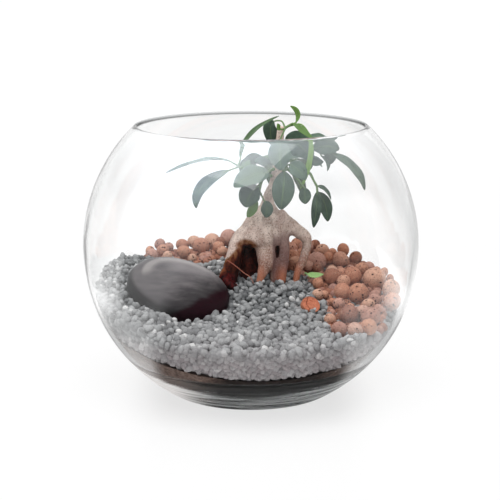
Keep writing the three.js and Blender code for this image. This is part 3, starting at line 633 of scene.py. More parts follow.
def wall_grains():
    """Grains that lie against the glass, from the soil up to the top: even spirals on the inner sphere."""
    low, high = WALL_GRAINS_Z
    count = int(2 * np.pi * INNER_RADIUS * (high - low) / (GRAIN_PITCH**2 * 0.72))
    step = np.arange(count) + 0.5
    z = low + (high - low) * step / count
    angle = step * np.pi * (3 - 5**0.5) + chance.uniform(-0.01, 0.01, count)
    half = grain_half(np.sin(angle) * 110)
    deep = INNER_RADIUS - SEAT - 1.15 * half - chance.uniform(0, 0.7, count)
    radius = girth(deep, z)
    x, y = radius * np.cos(angle), radius * np.sin(angle)
    plan = np.stack([x, y, 0 * x], 1)
    ragged = 2.2 * bumps(plan, 21.0, 7.0) + 1.2 * bumps(plan, 8.0, 3.0)
    keep = (z > soil_level(x, y) + 0.8 + ragged) & (z < bed_level(x, y) - 0.5)
    return grains(np.stack([x, y, z], 1)[keep], half[keep])


def packed_shape():
    """Rings out over the soil, up the wall and in over the top, under the outermost grains. Over its last
    8 mm the top falls to the upper edge of the wall."""
    inner = INNER_RADIUS - SEAT - COVER
    angle = np.linspace(0, 2 * np.pi, SOIL_SIDES, endpoint=False)
    low = wall_height(soil_level, inner, angle) + 0.9
    high = wall_height(bed_level, inner, angle) - 0.5
    out = girth(inner, low) * np.linspace(0.02, 0.97, 24)[:, None]
    under = soil_level(out * np.cos(angle), out * np.sin(angle)) + 0.9
    z = low + (high - low) * np.linspace(0, 1, 20)[:, None]
    wall = girth(inner, z)
    back = wall[-1] * np.linspace(0.985, 0.01, 90)[:, None]
    x, y = back * np.cos(angle), back * np.sin(angle)
    over = bed_level(x, y) - 2.4
    drop = smooth((np.hypot(x, y) - wall[-1] + 8) / 8)
    over = np.minimum(over, high * drop + over * (1 - drop))
    rings = [(out, under), (wall, z), (back, over)]
    rings = np.concatenate([around(*pair, SOIL_SIDES) for pair in rings])
    top = np.arange(len(rings)) > len(out) + len(wall)
    rings[..., 2] += 0.3 * bumps(rings, 2.5, 4.0) * top[:, None]
    # Painted shade: a tone and hue of 0.1 give this body a dark grey for the gaps between the grains.
    return skin(rings, np.full((*rings.shape[:2], 2), 0.1))


def gravel():
    """Crushed grey stone: each grain has its own grey, few are white quartz, with fine darker specks.
    Paler toward the front and pinkish low down at the glass, more on some grains than on others: a
    painted veil of the glass's reflection."""
    made, w = blank("grey_gravel")
    tone, hue = w.read("tone"), w.read("hue")
    _, y, z = w.parts(w.place())
    stops = [
        (0.0, paint(92, 93, 95)), (0.35, paint(132, 133, 134)), (0.85, paint(168, 168, 169)),
        (0.96, paint(192, 191, 191)), (1.0, paint(232, 230, 229)),
    ]
    base = w.node("ShaderNodeValToRGB", {"stops": stops}, {0: tone})
    # Painted reflection: the pale veil that the glass throws over the grains, paler toward the front and
    # pinkish low down at the glass.
    base = w.mix(w.fade(y, 0.0, -0.095) * 0.3, base, paint(204, 201, 202))
    low = w.fade(z, 0.062, 0.045)
    base = w.mix(low * (0.25 + 0.3 * hue), base, paint(186, 170, 172))
    fine = w.cloud(1.3, 3.0, 0.6)
    colour = w.mix(w.fade(fine, 0.6, 0.3) * 0.25, base, paint(92, 92, 95))
    w.surface(colour, 0.6 + 0.3 * fine, {"Specular IOR Level": 0.25, "Normal": w.bump(fine, 0.3)})
    return made


tone_marks = ["tone", "hue"]
grey = gravel()
piece("gravel_packed", packed_shape(), tone_marks, grey, ["gravel_bed"])
for layer, sink in GRAIN_LAYERS.items():
    piece("gravel_grains_" + layer, top_grains(sink), tone_marks, grey, ["gravel_bed"])
piece("gravel_grains_wall", wall_grains(), tone_marks, grey, ["gravel_bed"])

# River stone
# One flattish polished pebble, laid tilted toward the viewer with its front edge in the gravel. Warm grey
# with long darker streaks; the dark red along its lower right side is a painted reflection of the dark
# red root beside it.


def stone_shape():
    """A ball in latitude and longitude with its cosines and sines raised to powers under one, which
    gives it a flat top and a steep side, stretched to three half sizes, turned, and made uneven by broad
    noise."""
    lat = np.linspace(-np.pi / 2, np.pi / 2, 74)[1:-1, None]
    lon = np.linspace(0, 2 * np.pi, 120, endpoint=False)
    ring = np.cos(lat) ** 0.62
    x = ring * np.sign(np.cos(lon)) * np.abs(np.cos(lon)) ** 0.95
    y = ring * np.sign(np.sin(lon)) * np.abs(np.sin(lon)) ** 0.95
    z = np.sign(np.sin(lat)) * np.abs(np.sin(lat)) ** 0.72 + 0 * lon
    local = np.stack([x, y, z], -1)
    even = local * STONE_HALF
    uneven = 0.45 * bumps(even, 22.0, 9.0) + 0.12 * bumps(even, 7.0, 8.0)
    even = even * (1 - 0.012 + uneven[..., None] / 38)
    return skin(even @ turn_matrix(STONE_TURN).T + STONE_CENTRE, local)


def stone():
    """Polished stone: streaks drawn out along its length, under a thin clear polish. Light and shade
    are painted into its colour: a paler painted sheen on the raised back of the top, painted shade at
    the left end, toward the lower right and on the steep sides, a painted highlight along the upper
    edge at the back left, and a dark red painted reflection of the dark red root at the right end."""
    made, w = blank("river_stone_polished")
    x, y, z = w.read("along"), w.read("across"), w.read("up")
    streak = w.cloud(9, 5.0, 0.6, (0.35, 1.0, 2.2))
    fine = w.cloud(2.0, 4.0, 0.6, (0.4, 1.0, 1.6))
    colour = w.mix(w.fade(streak, 0.3, 0.7), paint(106, 101, 102), paint(86, 82, 85))
    colour = w.mix(w.fade(fine, 0.55, 0.8) * 0.2, colour, paint(122, 116, 116))
    # Painted sheen: a paler colour on the raised back of the top face, where the polish mirrors the sky.
    painted_sheen = w.fade(y, 0.05, 0.4) * w.fade(x, -0.5, 0.0)
    colour = w.mix(painted_sheen * 0.5, colour, paint(146, 140, 142))
    # Painted shade: the left end a little darker.
    colour = w.mix(w.fade(x, -0.2, -0.75) * 0.12, colour, paint(62, 58, 59))
    # Painted shade: darker toward the lower right, away from the sheen.
    low = w.fade(x * 0.8 - y * 0.7 + 0.5 * (streak - 0.5), 0.0, 0.7)
    colour = w.mix(low * 0.85, colour, paint(34, 31, 33))
    # Painted highlight: a pale line along the upper edge at the back left.
    edge = w.fade(w.math("ABSOLUTE", z - 0.86), 0.1, 0.02) * w.fade(y - 0.5 * x, 0.1, 0.5)
    colour = w.mix(edge * 0.5, colour, paint(176, 170, 168))
    # Painted shade: the steep sides dark.
    side = w.fade(z + 0.1 * (streak - 0.5), 0.64, 0.35)
    colour = w.mix(side * 0.9, colour, paint(30, 28, 30))
    # Painted reflection: dark red at the lower right end, where the dark red root beside the stone is
    # mirrored.
    red = w.fade(x - 0.75 * y - 0.25 * z + 0.3 * (streak - 0.5), 0.52, 0.7)
    colour = w.mix(red, colour, w.mix(fine, paint(9, 0, 4), paint(38, 1, 15)))
    sockets = {"Specular IOR Level": 0.08, "Normal": w.bump(fine, 0.05), "Coat Roughness": 0.2}
    sockets["Coat Weight"] = (0.08 + 0.12 * fine) * (1 - red)
    w.surface(colour, 0.35 + 0.2 * fine, sockets)
    return made


piece("river_stone_polished", stone_shape(), ["along", "across", "up"], stone(), ["river_stone"])

# Clay pebbles
# Fired expanded-clay balls of 6 to 18 mm, orange to pinkish brown with pores and a dusty crust, heaped on
# the gravel on the right and in a short row at the back. Smaller ones fill the gaps between them.
PEBBLE_LIFT = 1.5
PILE_CORE = 3.2
FILL_THROWS = 4000
FILL_REACH = 110
FILL_RADIUS = 3.4
FILL_SPREAD = 3
UNDER_RADIUS = 4.0
UNDER_SINK = 5.2
RIGHT_PEBBLES = [
    [76, 86, 5.5, 1], [85, 67, 5.6], [72, 63, 6.6], [67, 83, 3.7], [59, 85, 5.5], [54, 101, 4.5],
    [53, 59, 7.8], [62, 66, 5.6], [94, 50, 4.3], [88, 44, 5.5], [99, 45, 3.2], [105, 41, 3.9],
    [109, 27, 3.9], [96, 24, 8.9], [79, 29, 7.8], [71, 36, 4.7], [63, 27, 7], [64, 41, 4.7],
    [52, 18, 4.6], [69, 0, 6.6], [81, -3, 7.9], [107, 4, 7.6], [105, -18, 6.9], [92, -14, 5.2],
    [93, -30, 4.4], [82, -34, 5.1], [73, -26, 3.7], [71, -41, 7.3], [86, -45, 7.6], [57, -46, 4.3],
    [62, -65, 5.7], [73, -66, 5.7], [83, -61, 6], [51, -3, 4.5], [56, -1, 3.2], [61, -14, 3.2],
    [65, -19, 4.5], [36, 53, 6.2], [34, 66, 6.6], [43, 73, 6.4], [46, 90, 6.4],
]
FAR_PEBBLES = [
    [33.0, 86.0, 85.6, 6.5], [29.0, 97.0, 87.2, 4.8], [39.0, 104.0, 86.0, 6.0], [30.5, 46.5, 80.5, 5.5],
]
BACK_PEBBLES = [
    [-75, 85, 4.9, 4], [-68, 89, 4.7], [-72, 78, 5.7], [-83, 79, 4.1], [-80, 62, 5.5], [-57, 98, 5.2, 1],
    [-48, 103, 5.4, 2.5], [-42, 95, 7.4], [-55, 80, 5.7], [-48, 70, 3.8], [-33, 107, 7], [-26, 104, 5.4],
    [-19, 109, 7.7, 4], [-24, 84, 4.5], [-5, 108, 6.4], [9, 109, 7], [24, 106, 6], [4, 97, 5.6],
    [14, 95, 5.8], [-11, 95, 5.8],
]


def resting(x, y, r, lift):
    """Height of a pebble's middle: this far over the gravel level, or lower where a small one sinks in."""
    return float(gravel_level(x, y)) + min(lift, PILE_CORE - PILE_SINK + 0.7 * r)


def pebble_list(outline, placed, fill):
    """Rows of x, y, z and radius: the placed pebbles, then throws of smaller ones that are kept where they
    clear the others, the outline and the glass, until enough are in."""
    rows = []
    for x, y, r, *raised in placed:
        z = float(gravel_level(x, y)) + raised[0] if raised else resting(x, y, r, PEBBLE_LIFT)
        rows.append((x, y, z, r))
    for _ in range(FILL_THROWS):
        x, y = (-FILL_REACH + 2 * FILL_REACH * next(luck) for _ in range(2))
        r = FILL_RADIUS + FILL_SPREAD * next(luck)
        z = resting(x, y, r, PEBBLE_LIFT * next(luck))
        others = np.array(rows)
        clear = np.all(np.hypot(others[:, 0] - x, others[:, 1] - y) > 0.8 * (others[:, 3] + r))
        off_glass = np.hypot(np.hypot(x, y), z - BOWL_CENTRE_Z) < INNER_RADIUS - 1 - r
        if clear and off_glass and inside(outline, x, y) > 0.7 * r:
            rows.append((x, y, z, r))
        if len(rows) == len(placed) + fill:
            break
    return np.array(rows)


def ball(rows, sides):
    """A unit ball in latitude and longitude."""
    lat = np.linspace(-np.pi / 2, np.pi / 2, rows + 2)[1:-1]
    points, triangles, _ = skin(around(np.cos(lat), np.sin(lat), sides), np.zeros((rows, sides, 1)))
    return points, triangles


def clay_balls(centres, radii, rows, sides):
    """Balls a little flattened and turned at random, their surface moved in and out by broad lumps and
    finer pits. Each carries a tone and a hue of its own."""
    count = len(centres)
    form, triangles = ball(rows, sides)
    spots = form + 10 * np.arange(count)[:, None, None]
    lumps = 1 + 0.025 * bumps(spots, 0.9, 1.0) - 0.02 * np.maximum(0, bumps(spots, 0.28, 2.0))
    sizes = radii[:, None] * chance.uniform([0.98, 0.93, 0.95], [1.02, 1.0, 1.0], (count, 3))
    tones = chance.uniform(0, 1, (count, 2))
    return copies(form * lumps[..., None], triangles, centres, sizes, random_turns(count), tones)


def filling(outline, radius, sink):
    """Small balls on a triangular grid under the larger ones of a pile, clear of the glass, in the darker
    tones: painted shade for the gaps under the larger ones."""
    x, y = scattered(1.9 * radius).T
    r = radius * chance.uniform(0.85, 1.1, x.shape)
    centres = np.stack([x, y, gravel_level(x, y) - sink], 1)
    keep = inside(outline, x, y) > 0.6 * radius
    keep &= np.linalg.norm(centres - [0, 0, BOWL_CENTRE_Z], axis=1) < INNER_RADIUS - 0.8 - r
    keep &= off_trunk(centres, 0.5)
    points, triangles, marks = clay_balls(centres[keep], r[keep], 8, 14)
    # Painted shade: each tone is cut to three tenths, the darker end of the clay colours.
    return points, triangles, marks * [0.3, 1]


def joined(*shapes):
    """Several shapes as one."""
    shift = np.cumsum([0] + [len(points) for points, _, _ in shapes])
    points = np.concatenate([points for points, _, _ in shapes])
    triangles = np.concatenate([t + s for (_, t, _), s in zip(shapes, shift)])
    return points, triangles, np.concatenate([marks for _, _, marks in shapes])


def clay():
    """Fired clay: orange, brown or pinkish by ball, with a dusty pale crust in patches and dark pores."""
    made, w = blank("fired_clay")
    tone, hue = w.read("tone"), w.read("hue")
    stops = [
        (0.0, paint(146, 96, 78)), (0.3, paint(186, 128, 104)), (0.7, paint(208, 152, 126)),
        (1.0, paint(220, 176, 154)),
    ]
    base = w.node("ShaderNodeValToRGB", {"stops": stops}, {0: tone})
    base = w.mix(w.fade(hue, 0.4, 1.0) * 0.6, base, paint(206, 166, 156))
    crust = w.cloud(3.2, 4.0, 0.6)
    colour = w.mix(w.fade(crust, 0.5, 0.75) * 0.4, base, paint(222, 184, 160))
    colour = w.mix(w.fade(crust, 0.45, 0.25) * 0.5, colour, paint(124, 74, 56))
    wide = w.fade(w.cells(2.6), 0.34, 0.2) * w.fade(w.cloud(4.0, 1.0), 0.5, 0.58)
    small = w.fade(w.cells(1.3), 0.3, 0.16) * w.fade(w.cloud(3.0, 1.0), 0.4, 0.5)
    pores = w.math("MAXIMUM", wide, small * 0.75)
    colour = w.mix(pores, colour, paint(56, 28, 22))
    fine = w.cloud(0.8, 3.0, 0.7)
    colour = w.mix(w.fade(fine, 0.58, 0.4) * 0.22, colour, paint(120, 74, 58))
    height = fine * 0.6 + crust * 0.5 - pores * 0.9
    w.surface(colour, 0.78 + 0.2 * fine, {"Specular IOR Level": 0.15, "Normal": w.bump(height, 0.8)})
    return made


baked = clay()
piles = [
    ("right", RIGHT_PILE, RIGHT_PEBBLES, 5, FAR_PEBBLES),
    ("back", BACK_PILE, BACK_PEBBLES, 2, []),
]
for side_name, outline, placed, fill, more in piles:
    rows = np.array([*pebble_list(outline, placed, fill), *more])
    shape = joined(clay_balls(rows[:, :3], rows[:, 3], 20, 30), filling(outline, UNDER_RADIUS, UNDER_SINK))
    piece("clay_balls_" + side_name, shape, tone_marks, baked, ["clay_pebbles_" + side_name])

# Broken clay pebble
# A brighter orange ball that split open and lies half in the gravel at the front of the pile, its rough
# cracked face up toward the viewer.
BROKEN_PEBBLE = [44.0, -26.0, 7.4]
SPLIT_LEAN = 0.7
SPLIT_SWING = 0.35
SPLIT_AT = [0.0, -0.5, 2.0]


def broken_shape():
    """A ball whose part beyond a tilted plane is pressed flat onto the plane, the flat face roughened
    and cut by two cracks. The marks are how far a point belongs to that face, and to a crack in it."""
    x, y, r = BROKEN_PEBBLE
    form, triangles = ball(46, 64)
    local = form * np.array([r, 0.9 * r, 0.9 * r]) * (1 + 0.03 * bumps(form, 0.7, 4.0)[:, None])
    normal = turn_matrix([SPLIT_LEAN, 0, 0]) @ turn_matrix([0, SPLIT_SWING, 0]) @ [0, 0, 1]
    over = local @ normal - SPLIT_AT @ normal
    flat = smooth(over / 0.8 + 0.5)
    rough = 0.45 * bumps(local, 1.6, 6.0) + 0.3 * bumps(local, 0.8, 3.0)
    crack = np.exp(-((local[:, 0] + 0.35 * local[:, 2] - 1.0 + 0.5 * np.sin(local[:, 1])) / 0.35) ** 2)
    crack += np.exp(-((local[:, 2] - 0.5 * local[:, 0] + 0.8) / 0.3) ** 2) * (local[:, 0] < 1)
    crack = np.minimum(crack, 1)
    moved = local - normal * (np.maximum(over, 0) + flat * (0.5 - rough + 0.9 * crack))[:, None]
    centre = [x, y, float(gravel_level(x, y)) + 2]
    return moved + centre, triangles, np.stack([flat, flat * crack], 1)


def broken_clay():
    """The clay of the other balls on the outside, clean bright orange on the break, dark in its cracks."""
    made, w = blank("broken_clay")
    face, crack = w.read("face"), w.read("crack")
    grain = w.cloud(1.4, 4.0, 0.65)
    outside = w.mix(grain, paint(166, 92, 64), paint(206, 140, 112))
    broken = w.mix(grain, paint(168, 82, 54), paint(214, 142, 112))
    colour = w.mix(crack * 0.8, w.mix(face, outside, broken), paint(86, 34, 24))
    w.surface(colour, 0.75 + 0.2 * grain, {"Normal": w.bump(grain, 0.5)})
    return made


piece("clay_ball_broken", broken_shape(), ["face", "crack"], broken_clay(), ["clay_pebble_broken"])

# Fig trunk
# The swollen root crown of a grafted dwarf fig: a tent-shaped body on thick roots, with a bare stem on
# top. Grown as one piece; pale pinkish bark with lenticels, wet and dark red inside the left hollow,
# with black painted shade at the top of the hollow.
CROWN = [
    [13, 30, 136, 4.6, 4.6], [12.6, 30, 130, 8.2, 7.6], [11.5, 30, 124, 14.4, 11.5],
    [10, 29.5, 117, 17.6, 14], [8.3, 29.5, 111, 19.6, 15.5], [7.6, 30, 105, 20.6, 15],
    [9, 31, 100.5, 14.5, 10.5],
]
VOXEL = 0.9
EVEN_LOSS = 0.5


def tube(points, radii, sides, steps):
    """A round skin along a smooth curve, its radius eased from each given radius to the next. The rings'
    side direction is carried along, so that the skin doesn't twist."""
    centre = curve(points, steps)
    along = unit(np.gradient(centre, axis=0))
    side = np.cross([0, 0, 1] if abs(along[0, 2]) < 0.9 else [1, 0, 0], along[0])
    frames = []
    for direction in along:
        side = unit(side - direction * (side @ direction))
        frames.append((side, np.cross(direction, side)))
    across = np.array(frames)
    t = np.linspace(0, len(radii) - 1, steps + 1)
    low = np.minimum(t.astype(int), len(radii) - 2)
    given = np.array(radii, float)
    radius = given[low] + (given[low + 1] - given[low]) * smooth(t - low)
    a = np.linspace(0, 2 * np.pi, sides, endpoint=False)
    circle = np.cos(a)[:, None] * across[:, None, 0] + np.sin(a)[:, None] * across[:, None, 1]
    marks = np.repeat(np.linspace(0, 1, steps + 1), sides).reshape(steps + 1, sides, 1)
    return skin(centre[:, None] + circle * radius[:, None, None], marks)


def near(points, centre, reach):
    """1 at the centre of a soft ellipsoid with these half sizes, easing to 0 at its surface."""
    return smooth(1.25 * (1 - np.linalg.norm((points - centre) / reach, axis=1)))


def trunk_shape():
    """Crown rings and root tubes, drawn thicker by what the smoothing takes, fused by a voxel remesh and
    smoothed, then moved along the normals by noise: broad swellings, long ridges down the roots and fine
    unevenness."""
    station = curve(CROWN, 40)
    a = np.linspace(0, 2 * np.pi, 48, endpoint=False)
    x, y, z, wide, deep = station.T[..., None]
    crown = skin(np.stack([x + wide * np.cos(a), y + deep * np.sin(a), z + 0 * a], -1), np.zeros((41, 48, 1)))
    rough = joined(crown, *[tube(path, np.add(radii, EVEN_LOSS), 26, 40) for path, radii in LIMBS])
    draft = piece("draft", rough, [], baked, [])
    remesh = draft.modifiers.new("fuse", "REMESH")
    remesh.mode = "VOXEL"
    remesh.voxel_size = VOXEL * MM
    even = draft.modifiers.new("even", "SMOOTH")
    even.factor = 0.5
    even.iterations = 7
    fused = draft.evaluated_get(bpy.context.evaluated_depsgraph_get()).to_mesh()
    points = np.empty(3 * len(fused.vertices))
    fused.vertices.foreach_get("co", points)
    normals = np.empty_like(points)
    fused.vertex_normals.foreach_get("vector", normals)
    fused.calc_loop_triangles()
    triangles = np.empty(3 * len(fused.loop_triangles), np.int32)
    fused.loop_triangles.foreach_get("vertices", triangles)
    bpy.data.objects.remove(draft)
    points = points.reshape(-1, 3) / MM
    stretched = points * [1, 1, 0.35]
    relief = 0.45 * bumps(points, 9.0, 1.0) + 0.3 * bumps(stretched, 3.6, 2.0)
    relief = relief + 0.14 * bumps(points, 1.7, 3.0)
    points = points + normals.reshape(-1, 3) * (relief - 0.1)[:, None]
    hollow = np.maximum.reduce([
        near(points, [-3, 29, 92], [15, 12, 24]), near(points, [0, 30, 102], [12, 13, 10]),
        near(points, [0, 32, 82], [16, 14, 24]), near(points, [19.5, 23, 99], [3.4, 6.5, 9]),
    ])
    x, y, z = points.T
    amber = np.clip((x + 10 + 0.8 * (104 - z) + 2.5 * bumps(points, 4.0, 6.0)) / 10 + 0.2, 0, 1)
    amber = amber * smooth((108 - z) / 5) * smooth((4 - x) / 5) * smooth((36 - y) / 6)
    amber = np.maximum(amber, 0.35 * near(points, [-3, 17, 104], [13, 8, 8]))
    # dusk marks where painted shade darkens the bark, in the gap between the roots on the right.
    dusk = smooth((x - 15) / 2.5) * smooth((33 - x) / 4) * smooth((117 - z) / 9)
    wine = np.maximum(near(points, [-17, 7, 76], [13, 12, 11]), near(points, [-12, 5, 74], [9, 9, 10]))
    tip = np.maximum.reduce([
        near(points, [7, 14, 77], [9, 10, 17]), near(points, [24, 19, 76], [8, 10, 16]),
        near(points, [35, 23, 78], [8, 10, 16]),
    ])
    return points, triangles.reshape(-1, 3), np.stack([hollow, amber, wine, tip, dusk], 1)


def bark():
    """Smooth bark, greyish beige on the crown and browner and darker down the roots, partly their own
    colour and partly painted shade, with darker grain and pale and brown lenticels; amber and dark red
    where wet, orange at the root tips. Painted shade also darkens the gap between the roots on the
    right to a dusky purple brown, and the top of the left hollow to black."""
    made, w = blank("fig_bark")
    x, _, z = w.parts(w.place())
    grain = w.cloud(5.0, 5.0, 0.6, (1.0, 1.0, 0.4))
    speck = w.cells(1.5)
    colour = w.mix(w.fade(grain, 0.35, 0.65), paint(176, 152, 139), paint(228, 208, 196))
    colour = w.mix(w.fade(w.cloud(12, 2.0), 0.45, 0.7) * 0.5, colour, paint(184, 150, 141))
    # Darker and browner down the roots: partly their own colour, partly painted shade where less light
    # reaches.
    down = w.fade(z + 0.02 * (w.cloud(9, 3.0) - 0.5), 0.113, 0.088) * w.fade(x, -0.018, -0.002)
    colour = w.mix(down * 0.75, colour, w.mix(grain, paint(124, 76, 60), paint(174, 120, 100)))
    colour = w.mix(w.fade(speck, 0.38, 0.18) * 0.75, colour, paint(112, 82, 72))
    colour = w.mix(w.fade(w.cloud(1.1, 3.0, 0.7), 0.5, 0.6) * 0.45, colour, paint(238, 222, 212))
    tip, amber, dusk = w.read("tip"), w.read("amber"), w.read("dusk")
    hollow, wine = w.read("hollow"), w.read("wine")
    # Painted shade: a dusky purple brown in the gap between the roots on the right.
    colour = w.mix(dusk * 0.75, colour, w.mix(grain, paint(84, 58, 60), paint(136, 102, 98)))
    colour = w.mix(tip * 0.75, colour, w.mix(grain, paint(160, 86, 58), paint(214, 134, 98)))
    streak = w.fade(w.cloud(3.0, 4.0, 0.65, (1.0, 1.0, 0.5)), 0.35, 0.65)
    red = w.fade(w.cloud(2.2, 4.0, 0.7), 0.5, 0.7)
    stops = [
        (0.0, paint(150, 112, 88)), (0.3, paint(126, 82, 52)), (0.6, paint(84, 36, 20)),
        (1.0, paint(34, 8, 5)),
    ]
    wet_wood = w.node("ShaderNodeValToRGB", {"stops": stops}, {0: amber + 0.5 * (streak - 0.5)})
    colour = w.mix(w.fade(amber, 0.04, 0.25), colour, w.mix(red * 0.4, wet_wood, paint(124, 42, 20)))
    # Painted shade: the inside of the hollow goes black toward its top, over dark red wet wood lower down.
    inner = w.mix(w.fade(z, 0.1, 0.088), paint(8, 2, 1), w.mix(streak, paint(20, 4, 3), paint(72, 22, 12)))
    colour = w.mix(w.fade(hollow, 0.02, 0.3), colour, w.mix(red * 0.35, inner, paint(120, 44, 26)))
    colour = w.mix(w.fade(wine, 0.05, 0.4), colour, w.mix(streak, paint(24, 4, 6), paint(78, 14, 14)))
    wet = w.math("MAXIMUM", w.math("MAXIMUM", hollow, wine), amber * 0.8)
    fine = w.cloud(0.9, 3.0, 0.7)
    normal = w.bump(fine * 0.6 + grain * 0.6 - w.fade(speck, 0.3, 0.1) * 0.4, 0.35)
    rough = 0.72 + 0.15 * fine - 0.4 * wet
    w.surface(colour, rough, {"Specular IOR Level": 0.12, "Normal": normal})
    return made


trunk_marks = ["hollow", "amber", "wine", "tip", "dusk"]
piece("fig_trunk_grown", trunk_shape(), trunk_marks, bark(), ["ficus_trunk"])

# Loose root
# One thread-thin pale red root that leaves the arched root and lies over the hollow down to the gravel.
THREAD = [[-18.2, 11, 93.4], [-14, 10, 91], [-9.5, 9.5, 87.5], [-5, 9, 84], [-0.5, 9, 81], [2, 8.5, 76]]


def thread():
    """Pale red skin, lighter toward its end."""
    made, w = blank("root_thread")
    colour = w.mix(w.read("run"), paint(150, 74, 56), paint(206, 140, 116))
    colour = w.mix(w.cloud(1.5, 2.0) * 0.5, colour, paint(122, 56, 44))
    w.surface(colour, 0.5, {})
    return made


piece("root_thread_loose", tube(THREAD, [0.45, 0.35, 0.25], 10, 30), ["run"], thread(), [])

